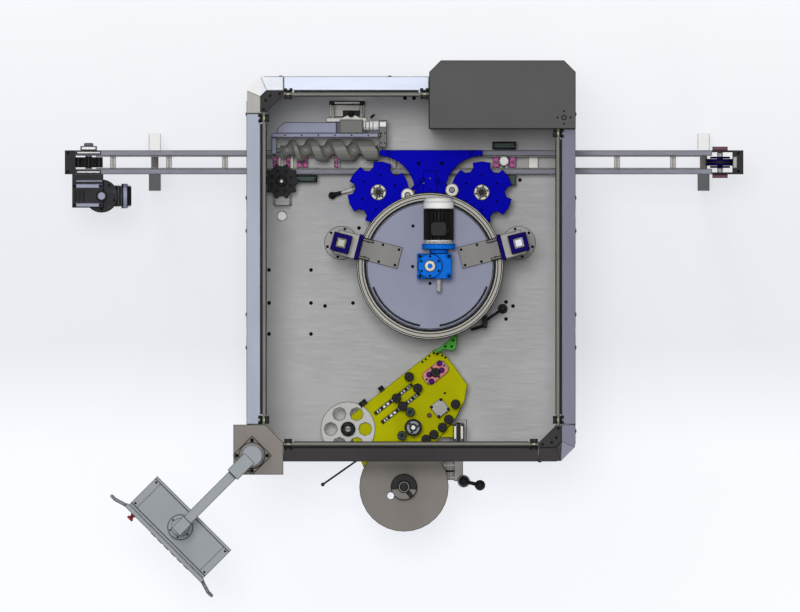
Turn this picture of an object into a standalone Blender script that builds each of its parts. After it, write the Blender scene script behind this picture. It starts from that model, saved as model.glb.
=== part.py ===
"""Rotary bottle labelling machine: guarded table, carousel, stars, conveyor and label unit.

Metres, +Z up, feet on Z = 0. The conveyor runs along X, from left to right.
"""
import math

import bmesh
import bpy
from mathutils import Matrix, Vector

# Clearances
GAP = 0.0003
DOOR_GAP = 0.003
RUNNING_GAP = 0.002

# Bottle path: carousel, stars and conveyor line
CAROUSEL_X = 0.156
CAROUSEL_Y = 0.372
HEADS = 12
STAR_POCKETS = 6
BOTTLE_PITCH_RADIUS = 0.360
STAR_SPREAD = 0.310
BOTTLE_RADIUS = 0.0325
POCKET_CLEARANCE = 0.0085
STAR_TIP_ABOVE_PITCH = 0.006
STAR_PLATE = 0.015
STAR_LOWER_LEVEL = 0.027
STAR_PLATE_SPACING = 0.080
STAR_HUB_RADIUS = 0.046
STAR_SHAFT_RADIUS = 0.028
INFEED_STAR_PHASE = -8.0
OUTFEED_STAR_PHASE = 0.0
GUIDE_STAR_CLEARANCE = 0.033
GUIDE_BAR_DEPTH = 0.030
GUIDE_BAR_OVERHANG = 0.004
GUIDE_LEG_RADIUS = 0.012
GUIDE_SCREW_GAP = 0.010

# Base and table
FOOT_HEIGHT = 0.110
FOOT_RADIUS = 0.045
BASE_HEIGHT = 0.740
PLINTH_HEIGHT = 0.080
PLINTH_SETBACK = 0.040
TABLE_THICKNESS = 0.020
TABLE_SETBACK = 0.030

# Conveyor
CONVEYOR_UNDERSIDE = 0.015
RAIL_DEPTH = 0.118
RAIL_WIDTH = 0.033
CONVEYOR_WIDTH = 0.144
CONVEYOR_OUT_LEFT = 1.027
CONVEYOR_LENGTH = 3.81724
CROSSBAR_RADIUS = 0.020
CROSSBAR_SPACING = 0.336
CROSSBAR_START = 0.223
LEG_FROM_START = 0.474
LEG_FROM_END = 0.051
LEG_WIDTH = 0.072
LEG_DEPTH = 0.050
LEG_REACH = 0.171
LEG_FOOT_RADIUS = 0.024
LEG_TIE_HEIGHT = 0.250
END_BLOCK_LENGTH = 0.066
SPROCKET_RADIUS = 0.085
SPROCKET_WIDTH = 0.062
SPROCKET_TEETH = 12
SPROCKET_FROM_END = 0.077
DRIVE_SHAFT_RADIUS = 0.020
IDLER_RADIUS = 0.088
IDLER_WIDTH = 0.041
IDLER_SHAFT_RADIUS = 0.017
IDLER_FORK_LENGTH = 0.122
IDLER_FORK_PLATE = 0.012
IDLER_FROM_RAIL = 0.048

# Infeed screw and its slide
SCREW_LENGTH = 0.587
SCREW_RADIUS = 0.065
SCREW_AXIS_HEIGHT = 0.076
SCREW_GROOVE_DEPTH = 0.040
SCREW_LAST_PITCH = 0.1885
SCREW_PITCH_LOSS = 0.024
SCREW_FIRST_PITCH = 0.078
SCREW_PHASE = 0.57
SCREW_SHAFT_RADIUS = 0.012
SCREW_BEAM_DEPTH = 0.025
SCREW_TRAVEL = 0.030
SLIDE_WIDTH = 0.242
SLIDE_ROD_RADIUS = 0.010

# Stop star
STOP_STAR_RADIUS = 0.106
STOP_STAR_TEETH = 10
STOP_STAR_FROM_LINE = 0.113

# Labelling head over the carousel
BOTTLE_HEIGHT = 0.297
BELL_LENGTH = 0.120
BELL_RADIUS = 0.034
ROTOR_THICKNESS = 0.030
COVER_GAP = 0.018
COVER_THICKNESS = 0.032
COVER_EDGE = 0.024
RING_INNER_EDGE = 0.045
RING_OUTER_EDGE = 0.081
TABLE_DISC_THICKNESS = 0.035
PLATE_STEP = 0.006
HEAD_LIFT = 0.120
ARM_HEIGHT = 0.080
ARM_PLATE_WIDTH = 0.133
ARM_PLATE_THICKNESS = 0.015
COLUMN_RADIUS = 0.550
COLUMN_ANGLE = 14.6
COLUMN_SIZE = 0.108
COLUMN_BORE = 0.060
COLUMN_FLANGE_RADIUS = 0.102
GEARBOX_WIDTH = 0.207
GEARBOX_DEPTH = 0.152
GEARBOX_HEIGHT = 0.200
MOTOR_RADIUS = 0.0925
MOTOR_AXIS_HEIGHT = 0.125
MOTOR_FLANGE = 0.012

# Guard: margins from what it encloses, and its sheet metal
MARGIN_LEFT = 0.200
MARGIN_RIGHT = 0.338
MARGIN_REAR = 0.512
MARGIN_FRONT = 0.171
GUARD_CORNER = 0.084
GUARD_WALL_HEIGHT = 0.850
GUARD_SLOPE_HEIGHT = 0.330
GUARD_SLOPE_RUN = 0.078
GUARD_SHEET = 0.022
POST_LEG = 0.218
TOP_RAIL_WIDTH = 0.022
TOP_RAIL_THICKNESS = 0.020
TOP_RAIL_SEAM = 0.014
GUSSET_LEG = 0.100
WINDOW_BORDER = 0.080
WINDOW_THICKNESS = 0.006
TUNNEL_HALF_WIDTH = 0.120
TUNNEL_HEIGHT = 0.330
PASSAGE_HEIGHT = 0.340
PASSAGE_LEFT = 0.540
PASSAGE_RIGHT = 0.520
HINGE_LENGTH = 0.048
HINGE_FROM_END = 0.026
HANDLE_SLOT_LENGTH = 0.160
HANDLE_SLOT_HEIGHT = 0.024

# Electrical cabinet
CABINET_WIDTH = 0.879
CABINET_DEPTH = 0.410
CABINET_PROUD_SIDE = 0.004
CABINET_PROUD_REAR = 0.100
CABINET_ABOVE_RAIL = 0.020
CABINET_CORNER = 0.070
CABINET_WALL = 0.020
CABINET_DOOR_THICKNESS = 0.020
CABINET_HINGE_GAP = 0.006
CABINET_PIN_RADIUS = 0.005
CABINET_SWEEP_ROOM = 0.0012
CABINET_BORE_SIDES = 12
CABINET_TROUGH_SIDES = 32
SWITCH_RADIUS = 0.034
SWITCH_RECESS = 0.014
SWITCH_FROM_EDGE = 0.120
SWITCH_HEIGHT_SHARE = 0.62
SWITCH_GRIP_WIDTH = 0.016
SWITCH_GRIP_LENGTH = 0.060

# Label unit, along its own axes: u towards the bottles, v to the left of u
LABEL_X = -0.336
LABEL_Y = -0.606
LABEL_ANGLE = 38.2
LABEL_LEVEL = 0.047
LABEL_PLATE_THICKNESS = 0.012
LABEL_ROLLER_RADIUS = 0.027
LABEL_ROLLER_HEIGHT = 0.120
LABEL_SLOT_WIDTH = 0.021
CARRIAGE_WIDTH = 0.107
CARRIAGE_DROP = 0.060
UNWIND_RADIUS = 0.268
UNWIND_HUB_RADIUS = 0.078
UNWIND_HUB_HEIGHT = 0.090
REWIND_RADIUS = 0.164
REWIND_HUB_RADIUS = 0.042
REWIND_HUB_HEIGHT = 0.070
REEL_DISC = 0.008
FEED_ROLLER_RADIUS = 0.052
STAND_X = 0.327
STAND_Y = -0.627
STAND_WIDTH = 0.060
STAND_DEPTH = 0.114
LIFT_DRUM_RADIUS = 0.050
LIFT_DRUM_LENGTH = 0.114
CRANK_RADIUS = 0.101
CRANK_BALL = 0.033

# Operator panel on its arm
HMI_ARM_LENGTH = 0.609
HMI_ARM_ANGLE = 225.0
HMI_BRACKET_OUT = 0.082
HMI_BOX_WIDTH = 0.628
HMI_BOX_DEPTH = 0.240
HMI_BOX_HEIGHT = 0.450
HMI_DROP = 0.330
HMI_PANEL_THICKNESS = 0.027
HMI_PANEL_BORDER = 0.012
HMI_HANDLE_OUT = 0.097
ESTOP_RADIUS = 0.020

# Levels
BASE_TOP = FOOT_HEIGHT + BASE_HEIGHT
TABLE_TOP = BASE_TOP + TABLE_THICKNESS
TRANSFER = TABLE_TOP + CONVEYOR_UNDERSIDE + RAIL_DEPTH
BELL_BOTTOM = TRANSFER + BOTTLE_HEIGHT
ROTOR_BOTTOM = BELL_BOTTOM + BELL_LENGTH
ROTOR_TOP = ROTOR_BOTTOM + ROTOR_THICKNESS
COVER_BOTTOM = ROTOR_TOP + COVER_GAP
HEAD_TOP = COVER_BOTTOM + COVER_THICKNESS
BEND = BASE_TOP + GUARD_WALL_HEIGHT
RAIL_BOTTOM = BEND + GUARD_SLOPE_HEIGHT
RAIL_TOP = RAIL_BOTTOM + TOP_RAIL_THICKNESS
CABINET_TOP = RAIL_TOP + CABINET_ABOVE_RAIL
LABEL_BOTTOM = TRANSFER + LABEL_LEVEL
LABEL_TOP = LABEL_BOTTOM + LABEL_PLATE_THICKNESS

# Plan positions
STAR_PITCH_RADIUS = BOTTLE_PITCH_RADIUS * STAR_POCKETS / HEADS
STAR_DISTANCE = BOTTLE_PITCH_RADIUS + STAR_PITCH_RADIUS
STAR_Y = CAROUSEL_Y + math.sqrt(STAR_DISTANCE ** 2 - STAR_SPREAD ** 2)
INFEED_X = CAROUSEL_X - STAR_SPREAD
OUTFEED_X = CAROUSEL_X + STAR_SPREAD
LINE_Y = STAR_Y + STAR_PITCH_RADIUS
STAR_TIP = STAR_PITCH_RADIUS + STAR_TIP_ABOVE_PITCH
POCKET_RADIUS = BOTTLE_RADIUS + POCKET_CLEARANCE
RING_RADIUS = BOTTLE_PITCH_RADIUS + RING_OUTER_EDGE
SCREW_END = INFEED_X - 0.001
SCREW_START = SCREW_END - SCREW_LENGTH
SCREW_Y = LINE_Y + STAR_TIP_ABOVE_PITCH + RUNNING_GAP + SCREW_RADIUS
SCREW_Z = TRANSFER + SCREW_AXIS_HEIGHT
LEFT = SCREW_START - MARGIN_LEFT
RIGHT = CAROUSEL_X + COLUMN_RADIUS * math.cos(math.radians(COLUMN_ANGLE)) + MARGIN_RIGHT
REAR = LINE_Y + MARGIN_REAR
FRONT = STAND_Y - MARGIN_FRONT
RAIL_START = LEFT - CONVEYOR_OUT_LEFT
RAIL_END = RAIL_START + CONVEYOR_LENGTH
NEAR_EDGE = LINE_Y - CONVEYOR_WIDTH / 2
FAR_EDGE = LINE_Y + CONVEYOR_WIDTH / 2
CABINET_RIGHT = RIGHT + CABINET_PROUD_SIDE
CABINET_LEFT = CABINET_RIGHT - CABINET_WIDTH
CABINET_REAR = REAR + CABINET_PROUD_REAR
CABINET_FRONT = CABINET_REAR - CABINET_DEPTH
HINGE_SETBACK = GUARD_SLOPE_RUN + TOP_RAIL_SEAM / 2
HINGE_Z = RAIL_TOP - TOP_RAIL_SEAM / 2

# Colour, roughness and metallic value of each look
LOOKS = {
    "painted_frame": ((0.36, 0.36, 0.36), 0.45, 0.2),
    "steel_sheet": ((0.42, 0.42, 0.44), 0.35, 0.6),
    "guard_sheet": ((0.40, 0.42, 0.50), 0.30, 0.5),
    "clear_pane": ((0.75, 0.80, 0.85), 0.08, 0.0),
    "dark_grey": ((0.10, 0.10, 0.10), 0.50, 0.3),
    "light_steel": ((0.55, 0.54, 0.52), 0.30, 0.7),
    "blue_grey": ((0.22, 0.23, 0.30), 0.35, 0.5),
    "star_blue": ((0.00, 0.00, 0.35), 0.45, 0.0),
    "column_blue": ((0.01, 0.01, 0.11), 0.45, 0.2),
    "drive_blue": ((0.01, 0.13, 0.58), 0.40, 0.1),
    "black_plastic": ((0.02, 0.02, 0.02), 0.55, 0.0),
    "screw_plastic": ((0.07, 0.07, 0.06), 0.45, 0.0),
    "plate_yellow": ((0.38, 0.38, 0.00), 0.45, 0.1),
    "peeler_green": ((0.06, 0.32, 0.03), 0.45, 0.1),
    "reel_grey": ((0.23, 0.21, 0.19), 0.45, 0.1),
    "motor_pink": ((0.60, 0.19, 0.16), 0.45, 0.1),
    "wheel_navy": ((0.01, 0.00, 0.05), 0.45, 0.0),
    "panel_grey": ((0.28, 0.30, 0.33), 0.40, 0.3),
    "stop_red": ((0.45, 0.01, 0.01), 0.40, 0.0),
}


def collection(name):
    made = bpy.data.collections.new(name)
    bpy.context.scene.collection.children.link(made)
    return made


def start():
    """Empty the scene and make the two collections."""
    for obj in list(bpy.data.objects):
        bpy.data.objects.remove(obj)
    return collection("bottle_labelling_machine"), collection("cutters")


PARTS, CUTTERS = start()


def look(name):
    """The material of that name, made once."""
    if name in bpy.data.materials:
        return bpy.data.materials[name]
    colour, roughness, metallic = LOOKS[name]
    material = bpy.data.materials.new(name)
    material.use_nodes = True
    shader = material.node_tree.nodes["Principled BSDF"]
    shader.inputs["Base Color"].default_value = (*colour, 1.0)
    shader.inputs["Roughness"].default_value = roughness
    shader.inputs["Metallic"].default_value = metallic
    material.diffuse_color = (*colour, 1.0)
    return material


def working(name, data):
    """A working shape: it stays out of the model until piece() takes it."""
    obj = bpy.data.objects.new(name, data)
    obj.hide_render = True
    obj.display_type = "WIRE"
    CUTTERS.objects.link(obj)
    return obj


def shape(bm, name="shape"):
    bmesh.ops.recalc_face_normals(bm, faces=bm.faces)
    mesh = bpy.data.meshes.new(name)
    bm.to_mesh(mesh)
    bm.free()
    return working(name, mesh)


def as_mesh(obj):
    """A mesh object from a curve or from an object with modifiers, in world space."""
    graph = bpy.context.evaluated_depsgraph_get()
    mesh = bpy.data.meshes.new_from_object(obj.evaluated_get(graph))
    mesh.transform(obj.matrix_world)
    bpy.data.objects.remove(obj)
    bm = bmesh.new()
    bm.from_mesh(mesh)
    bmesh.ops.remove_doubles(bm, verts=bm.verts, dist=0.000005)
    bmesh.ops.dissolve_degenerate(bm, edges=bm.edges, dist=0.000005)
    bmesh.ops.dissolve_limit(bm, angle_limit=0.001, verts=bm.verts, edges=bm.edges)
    return shape(bm)


def placed(obj, matrix):
    obj.data.transform(matrix)
    return obj


def box(x0, x1, y0, y1, z0, z1):
    bm = bmesh.new()
    bmesh.ops.create_cube(bm, size=1.0)
    bmesh.ops.scale(bm, vec=(x1 - x0, y1 - y0, z1 - z0), verts=bm.verts)
    bmesh.ops.translate(bm, vec=((x0 + x1) / 2, (y0 + y1) / 2, (z0 + z1) / 2), verts=bm.verts)
    return shape(bm)


def rod(start_point, end_point, radius, sides=16, end_radius=None):
    """A cylinder, or a cone with end_radius, between two points."""
    a = Vector(start_point)
    b = Vector(end_point)
    bm = bmesh.new()
    far = radius if end_radius is None else end_radius
    bmesh.ops.create_cone(
        bm, cap_ends=True, segments=sides, radius1=radius, radius2=far, depth=(b - a).length
    )
    turn = (b - a).to_track_quat("Z", "Y").to_matrix().to_4x4()
    bmesh.ops.transform(bm, matrix=Matrix.Translation((a + b) / 2) @ turn, verts=bm.verts)
    return shape(bm)


def disc(x, y, radius, z0, z1, sides=24):
    return rod((x, y, z0), (x, y, z1), radius, sides)


def ball(x, y, z, radius):
    bm = bmesh.new()
    bmesh.ops.create_uvsphere(bm, u_segments=10, v_segments=6, radius=radius)
    bmesh.ops.translate(bm, vec=(x, y, z), verts=bm.verts)
    return shape(bm)


def arc(x, y, radius, first, last, count):
    """Points along an arc, angles in degrees."""
    points = []
    for i in range(count + 1):
        a = math.radians(first + (last - first) * i / count)
        points.append((x + radius * math.cos(a), y + radius * math.sin(a)))
    return points


def circle(x, y, radius, count=16):
    return arc(x, y, radius, 0, 360 * (count - 1) / count, count - 1)


def plate(outline, z0, z1, holes=()):
    """A flat outline with holes, extruded from z0 to z1."""
    curve = bpy.data.curves.new("outline", "CURVE")
    curve.dimensions = "2D"
    curve.fill_mode = "BOTH"
    curve.extrude = (z1 - z0) / 2
    for points in (outline, *holes):
        spline = curve.splines.new("POLY")
        spline.points.add(len(points) - 1)
        for point, (x, y) in zip(spline.points, points):
            point.co = (x, y, 0, 1)
        spline.use_cyclic_u = True
    obj = working("outline", curve)
    obj.location.z = (z0 + z1) / 2
    bpy.context.view_layer.update()
    return as_mesh(obj)


def turned(profile, x, y, steps=32, closed=False):
    """A profile of (radius, height) points, top to bottom, turned about a vertical axis."""
    mesh = bpy.data.meshes.new("profile")
    edges = [(i, i + 1) for i in range(len(profile) - 1)]
    if closed:
        edges.append((len(profile) - 1, 0))
    mesh.from_pydata([(r, 0, z) for r, z in profile], edges, [])
    obj = working("profile", mesh)
    screw = obj.modifiers.new("turn", "SCREW")
    screw.steps = steps
    screw.render_steps = steps
    screw.use_merge_vertices = True
    screw.merge_threshold = 0.00001
    obj.location = (x, y, 0)
    bpy.context.view_layer.update()
    return as_mesh(obj)


def tube(points, radius, resolution=2):
    """A bent round bar along the points."""
    curve = bpy.data.curves.new("bar", "CURVE")
    curve.dimensions = "3D"
    curve.bevel_depth = radius
    curve.bevel_resolution = resolution
    curve.use_fill_caps = True
    spline = curve.splines.new("POLY")
    spline.points.add(len(points) - 1)
    for point, place in zip(spline.points, points):
        point.co = (*place, 1)
    return as_mesh(working("bar", curve))


def loft(rings):
    """A closed skin through rings that have the same number of points."""
    bm = bmesh.new()
    loops = [[bm.verts.new(point) for point in ring] for ring in rings]
    count = len(loops[0])
    for below, above in zip(loops, loops[1:]):
        for i in range(count):
            j = (i + 1) % count
            bm.faces.new((below[i], below[j], above[j], above[i]))
    bm.faces.new(loops[0])
    bm.faces.new(loops[-1])
    return shape(bm)


def combined(first, others, operation):
    for other in others:
        step = first.modifiers.new("step", "BOOLEAN")
        step.operation = operation
        step.solver = "EXACT"
        step.object = other
    made = as_mesh(first)
    for other in others:
        bpy.data.objects.remove(other)
    return made


def fused(*shapes):
    return combined(shapes[0], shapes[1:], "UNION")


def cut(body, *cutters):
    return combined(body, cutters, "DIFFERENCE")


def common(body, *others):
    return combined(body, others, "INTERSECT")


def piece(name, obj, look_name, pivot=(0, 0, 0), parent=None):
    """Turn a working shape into a named part with its origin on its pivot."""
    obj.name = name
    obj.data.name = name
    obj.data.transform(Matrix.Translation(-Vector(pivot)))
    obj.location = pivot
    obj.hide_render = False
    obj.display_type = "TEXTURED"
    obj.data.materials.clear()
    obj.data.materials.append(look(look_name))
    obj.data.shade_smooth()
    obj.data.set_sharp_from_angle(angle=math.radians(35))
    CUTTERS.objects.unlink(obj)
    PARTS.objects.link(obj)
    if parent:
        bpy.context.view_layer.update()
        obj.parent = parent
        obj.matrix_parent_inverse = parent.matrix_world.inverted()
    return obj


def chamfered(x0, x1, y0, y1, corner):
    """A rectangle whose four corners are cut at 45 degrees."""
    return [
        (x0 + corner, y0), (x1 - corner, y0), (x1, y0 + corner), (x1, y1 - corner),
        (x1 - corner, y1), (x0 + corner, y1), (x0, y1 - corner), (x0, y0 + corner),
    ]


def guard_outline(setback, corner=None):
    """The guard's plan outline, moved inwards by setback."""
    if corner is None:
        corner = GUARD_CORNER - setback * (2 - math.sqrt(2))
    return chamfered(LEFT + setback, RIGHT - setback, FRONT + setback, REAR - setback, corner)


def at_height(outline, z):
    return [(x, y, z) for x, y in outline]


def cabinet_room(z0, z1):
    """The space that the cabinet takes, with its seating gap."""
    return box(CABINET_LEFT - GAP, RIGHT + 1, CABINET_FRONT - GAP, REAR + 1, z0, z1)


def base_frame():
    body = plate(guard_outline(0), FOOT_HEIGHT + PLINTH_HEIGHT, BASE_TOP)
    plinth_top = FOOT_HEIGHT + PLINTH_HEIGHT + 0.01
    shapes = [body, plate(guard_outline(PLINTH_SETBACK), FOOT_HEIGHT, plinth_top)]
    inset = PLINTH_SETBACK + GUARD_CORNER + FOOT_RADIUS
    for x in (LEFT + inset, RIGHT - inset):
        for y in (FRONT + inset, (FRONT + REAR) / 2, REAR - inset):
            shapes.append(disc(x, y, FOOT_RADIUS * 0.4, 0.01, FOOT_HEIGHT + 0.01, 8))
            shapes.append(rod((x, y, 0), (x, y, 0.025), FOOT_RADIUS, 12, FOOT_RADIUS * 0.5))
    return piece("base_frame", fused(*shapes), "painted_frame")


def table_plate():
    body = plate(guard_outline(TABLE_SETBACK), BASE_TOP + GAP, TABLE_TOP)
    body = cut(body, cabinet_room(BASE_TOP - 0.01, TABLE_TOP + 0.01))
    return piece("table_plate", body, "steel_sheet")


def guard_wall(room, z0, z1):
    """The part of the guard's folded wall that lies in a room (x0, x1, y0, y1)."""
    share = (z1 - BEND) / GUARD_SLOPE_HEIGHT
    top = GUARD_SLOPE_RUN * share
    outer = loft([
        at_height(guard_outline(0), z0),
        at_height(guard_outline(0), BEND),
        at_height(guard_outline(top), z1),
    ])
    inner = loft([
        at_height(guard_outline(GUARD_SHEET), z0 - 0.05),
        at_height(guard_outline(GUARD_SHEET), BEND),
        at_height(guard_outline(top + GUARD_SHEET), z1),
        at_height(guard_outline(top + GUARD_SHEET), z1 + 0.05),
    ])
    x0, x1, y0, y1 = room
    wall = common(outer, box(x0, x1, y0, y1, z0 - 0.1, z1 + 0.1))
    return cut(wall, inner)


def post(name, x_side, y_side):
    """A folded corner post with a foot on the table; the sides are -1 or 1."""
    x_edge = LEFT if x_side < 0 else RIGHT
    y_edge = FRONT if y_side < 0 else REAR
    xs = sorted((x_edge + 0.1 * x_side, x_edge - POST_LEG * x_side))
    ys = sorted((y_edge + 0.1 * y_side, y_edge - POST_LEG * y_side))
    wall = guard_wall((*xs, *ys), BASE_TOP + GAP, RAIL_BOTTOM - GAP)
    seat = TABLE_TOP + GAP
    inner = GUARD_SHEET * 3
    foot_x = sorted((x_edge - GUARD_SHEET / 2 * x_side, x_edge - inner * x_side))
    foot_y = sorted((y_edge - GUARD_CORNER * y_side, y_edge - POST_LEG * y_side))
    side_x = sorted((x_edge - GUARD_CORNER * x_side, x_edge - POST_LEG * x_side))
    side_y = sorted((y_edge - GUARD_SHEET / 2 * y_side, y_edge - inner * y_side))
    feet = (box(*foot_x, *foot_y, seat, seat + 0.01), box(*side_x, *side_y, seat, seat + 0.01))
    return piece(name, fused(wall, *feet), "guard_sheet")


SIDES = {
    "left": ("x", LEFT, 1),
    "right": ("x", RIGHT, -1),
    "front": ("y", FRONT, 1),
    "rear": ("y", REAR, -1),
}


def across(side, depth0, depth1, along0, along1):
    """A room (x0, x1, y0, y1) at a guard side: depth goes inwards, along runs beside it."""
    axis, edge, inward = SIDES[side]
    depth = sorted((edge + inward * depth0, edge + inward * depth1))
    along = sorted((along0, along1))
    return (*depth, *along) if axis == "x" else (*along, *depth)


def side_span(side):
    """Where a guard side's door starts and ends."""
    if side == "left":
        return FRONT + POST_LEG + DOOR_GAP, REAR - POST_LEG - DOOR_GAP
    if side == "right":
        return FRONT + POST_LEG + DOOR_GAP, CABINET_FRONT - DOOR_GAP
    if side == "front":
        return LEFT + POST_LEG + DOOR_GAP, RIGHT - POST_LEG - DOOR_GAP
    return LEFT + POST_LEG + DOOR_GAP, CABINET_LEFT - DOOR_GAP


def hinge_places(side):
    start_at, end_at = side_span(side)
    return start_at + HINGE_FROM_END, end_at - HINGE_FROM_END


def hinge_barrel(side, centre, length):
    """A hinge barrel on a guard side's hinge axis."""
    axis, edge, inward = SIDES[side]
    depth = edge + inward * HINGE_SETBACK
    ends = (centre - length / 2, centre + length / 2)
    points = [(depth, a, HINGE_Z) if axis == "x" else (a, depth, HINGE_Z) for a in ends]
    return rod(*points, TOP_RAIL_SEAM / 2 - DOOR_GAP / 4, 8)


def guard_top_rail():
    outer = guard_outline(GUARD_SLOPE_RUN + TOP_RAIL_SEAM)
    width = GUARD_SLOPE_RUN + TOP_RAIL_SEAM + TOP_RAIL_WIDTH
    ring = plate(outer, RAIL_BOTTOM, RAIL_TOP, [guard_outline(width, GUSSET_LEG)])
    ring = cut(ring, cabinet_room(RAIL_BOTTOM - 0.01, RAIL_TOP + 0.01))
    shapes = [ring]
    for side in SIDES:
        for place in hinge_places(side):
            inner = width + 0.018
            block = across(side, width - 0.006, inner, place - 0.022, place + 0.022)
            shapes.append(box(*block, RAIL_BOTTOM + 0.002, RAIL_TOP + 0.006))
            shapes.append(hinge_barrel(side, place, HINGE_LENGTH / 3))
            leaf = across(side, HINGE_SETBACK, width - 0.004, place - 0.007, place + 0.007)
            shapes.append(box(*leaf, HINGE_Z - 0.003, HINGE_Z + 0.003))
    return piece("guard_top_rail", fused(*shapes), "light_steel")


def window_span(side):
    """Where a door's window starts and ends, and its height."""
    start_at, end_at = side_span(side)
    low = TABLE_TOP + WINDOW_BORDER
    high = BEND - WINDOW_BORDER
    if side in ("left", "right"):
        end_at = LINE_Y - TUNNEL_HALF_WIDTH
    if side == "front":
        low = TRANSFER + PASSAGE_HEIGHT + WINDOW_BORDER
    return start_at + WINDOW_BORDER, end_at - WINDOW_BORDER, low, high


def guard_door(side):
    """A lift-up door: folded wall, window opening, finger slot and hinge leaves."""
    start_at, end_at = side_span(side)
    axis, edge, inward = SIDES[side]
    bottom = BASE_TOP + DOOR_GAP
    top = RAIL_BOTTOM - DOOR_GAP
    body = guard_wall(across(side, -0.1, 0.3, start_at, end_at), bottom, top)
    w0, w1, low, high = window_span(side)
    cutters = [box(*across(side, -0.05, GUARD_SHEET + 0.05, w0, w1), low, high)]
    slot_at = (start_at + end_at) / 2
    slot_z = bottom + WINDOW_BORDER / 2
    if side in ("left", "right"):
        tunnel = across(side, -0.05, 0.1, LINE_Y - TUNNEL_HALF_WIDTH, LINE_Y + TUNNEL_HALF_WIDTH)
        cutters.append(box(*tunnel, bottom - 0.05, TRANSFER + TUNNEL_HEIGHT))
        slot_at = (w0 + w1) / 2
    if side == "front":
        passage = across(side, -0.05, 0.1, -PASSAGE_LEFT, PASSAGE_RIGHT)
        cutters.append(box(*passage, bottom - 0.05, TRANSFER + PASSAGE_HEIGHT))
        slot_z = TRANSFER + PASSAGE_HEIGHT + WINDOW_BORDER / 2
    slot_half = HANDLE_SLOT_LENGTH / 2
    slot = across(side, -0.05, GUARD_SHEET + 0.05, slot_at - slot_half, slot_at + slot_half)
    cutters.append(box(*slot, slot_z - HANDLE_SLOT_HEIGHT / 2, slot_z + HANDLE_SLOT_HEIGHT / 2))
    body = cut(body, *cutters)
    shapes = [body]
    for place in hinge_places(side):
        for shift in (-1, 1):
            centre = place + shift * (HINGE_LENGTH / 3 + GAP)
            shapes.append(hinge_barrel(side, centre, HINGE_LENGTH / 3 - GAP))
            sheet = GUARD_SLOPE_RUN - GUARD_SHEET / 2
            half = HINGE_LENGTH / 6 - GAP
            leaf = across(side, sheet, HINGE_SETBACK, centre - half, centre + half)
            shapes.append(box(*leaf, RAIL_BOTTOM - 0.04, HINGE_Z - 0.002))
    setback = edge + inward * HINGE_SETBACK
    middle = (start_at + end_at) / 2
    pivot = (setback, middle, HINGE_Z) if axis == "x" else (middle, setback, HINGE_Z)
    door = piece("guard_door_" + side, fused(*shapes), "guard_sheet", pivot)
    depth = (GUARD_SHEET - WINDOW_THICKNESS) / 2
    room = across(side, depth, depth + WINDOW_THICKNESS, w0 + GAP, w1 - GAP)
    pane = box(*room, low + GAP, high - GAP)
    piece("window_" + side, pane, "clear_pane", pivot, door)
    return door


def cabinet():
    """The cabinet with a door on pivot pins and a switch sunk into the door.

    The door's corner turns in a trough that the shell has around the pins.
    """
    corner = CABINET_CORNER
    x0, x1, y0, y1 = CABINET_LEFT, CABINET_RIGHT, CABINET_FRONT, CABINET_REAR
    z0, z1 = BASE_TOP + GAP, CABINET_TOP
    wall = CABINET_WALL
    outline = [
        (x0, y0), (x1, y0), (x1, y1 - corner), (x1 - corner, y1), (x0 + corner, y1), (x0, y1 - corner),
    ]
    mouth_left = x0 + corner
    mouth_right = x1 - corner
    door_face = y1 - CABINET_DOOR_THICKNESS
    mouth = box(mouth_left, mouth_right, door_face, y1 + 0.05, z0 + wall, z1 - wall)
    inside = box(
        mouth_left + wall, mouth_right - wall, y0 + wall, y1 + 0.05, z0 + 2 * wall, z1 - 2 * wall
    )
    pin_x = mouth_right - CABINET_HINGE_GAP - CABINET_DOOR_THICKNESS / 2
    pin_y = y1 - CABINET_DOOR_THICKNESS / 2
    low = z0 + wall + DOOR_GAP
    high = z1 - wall - DOOR_GAP
    pin_low = z0 + wall * 0.4
    pin_high = z1 - wall * 0.4
    bore = disc(
        pin_x, pin_y, CABINET_PIN_RADIUS + GAP, pin_low - GAP, pin_high + GAP, CABINET_BORE_SIDES
    )
    sweep = CABINET_DOOR_THICKNESS / 2 * math.sqrt(2) + CABINET_SWEEP_ROOM
    trough = disc(pin_x, pin_y, sweep, z0 + wall, z1 - wall, CABINET_TROUGH_SIDES)
    body = cut(plate(outline, z0, z1), mouth, inside, bore, trough)
    piece("cabinet_shell", body, "dark_grey")

    leaf = box(mouth_left + GAP, mouth_right - CABINET_HINGE_GAP, door_face + GAP, y1, low, high)
    switch_x = mouth_left + SWITCH_FROM_EDGE
    switch_z = z0 + (z1 - z0) * SWITCH_HEIGHT_SHARE
    seat = y1 - SWITCH_RECESS
    recess = rod(
        (switch_x, seat, switch_z), (switch_x, y1 + 0.05, switch_z), SWITCH_RADIUS + DOOR_GAP, 16
    )
    pins = [
        disc(pin_x, pin_y, CABINET_PIN_RADIUS, high - 0.01, pin_high, CABINET_BORE_SIDES),
        disc(pin_x, pin_y, CABINET_PIN_RADIUS, pin_low, low + 0.01, CABINET_BORE_SIDES),
    ]
    pivot = (pin_x, pin_y, (z0 + z1) / 2)
    door = piece("cabinet_door", fused(cut(leaf, recess), *pins), "dark_grey", pivot)

    face = seat + GAP
    dial_top = seat + SWITCH_RECESS / 2
    dial = rod((switch_x, face, switch_z), (switch_x, dial_top, switch_z), SWITCH_RADIUS, 16)
    half_wide = SWITCH_GRIP_WIDTH / 2
    half_tall = SWITCH_GRIP_LENGTH / 2
    grip = box(
        switch_x - half_wide, switch_x + half_wide, face, y1 - GAP,
        switch_z - half_tall, switch_z + half_tall,
    )
    piece("main_switch", fused(dial, grip), "stop_red", (switch_x, face, switch_z), door)


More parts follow.
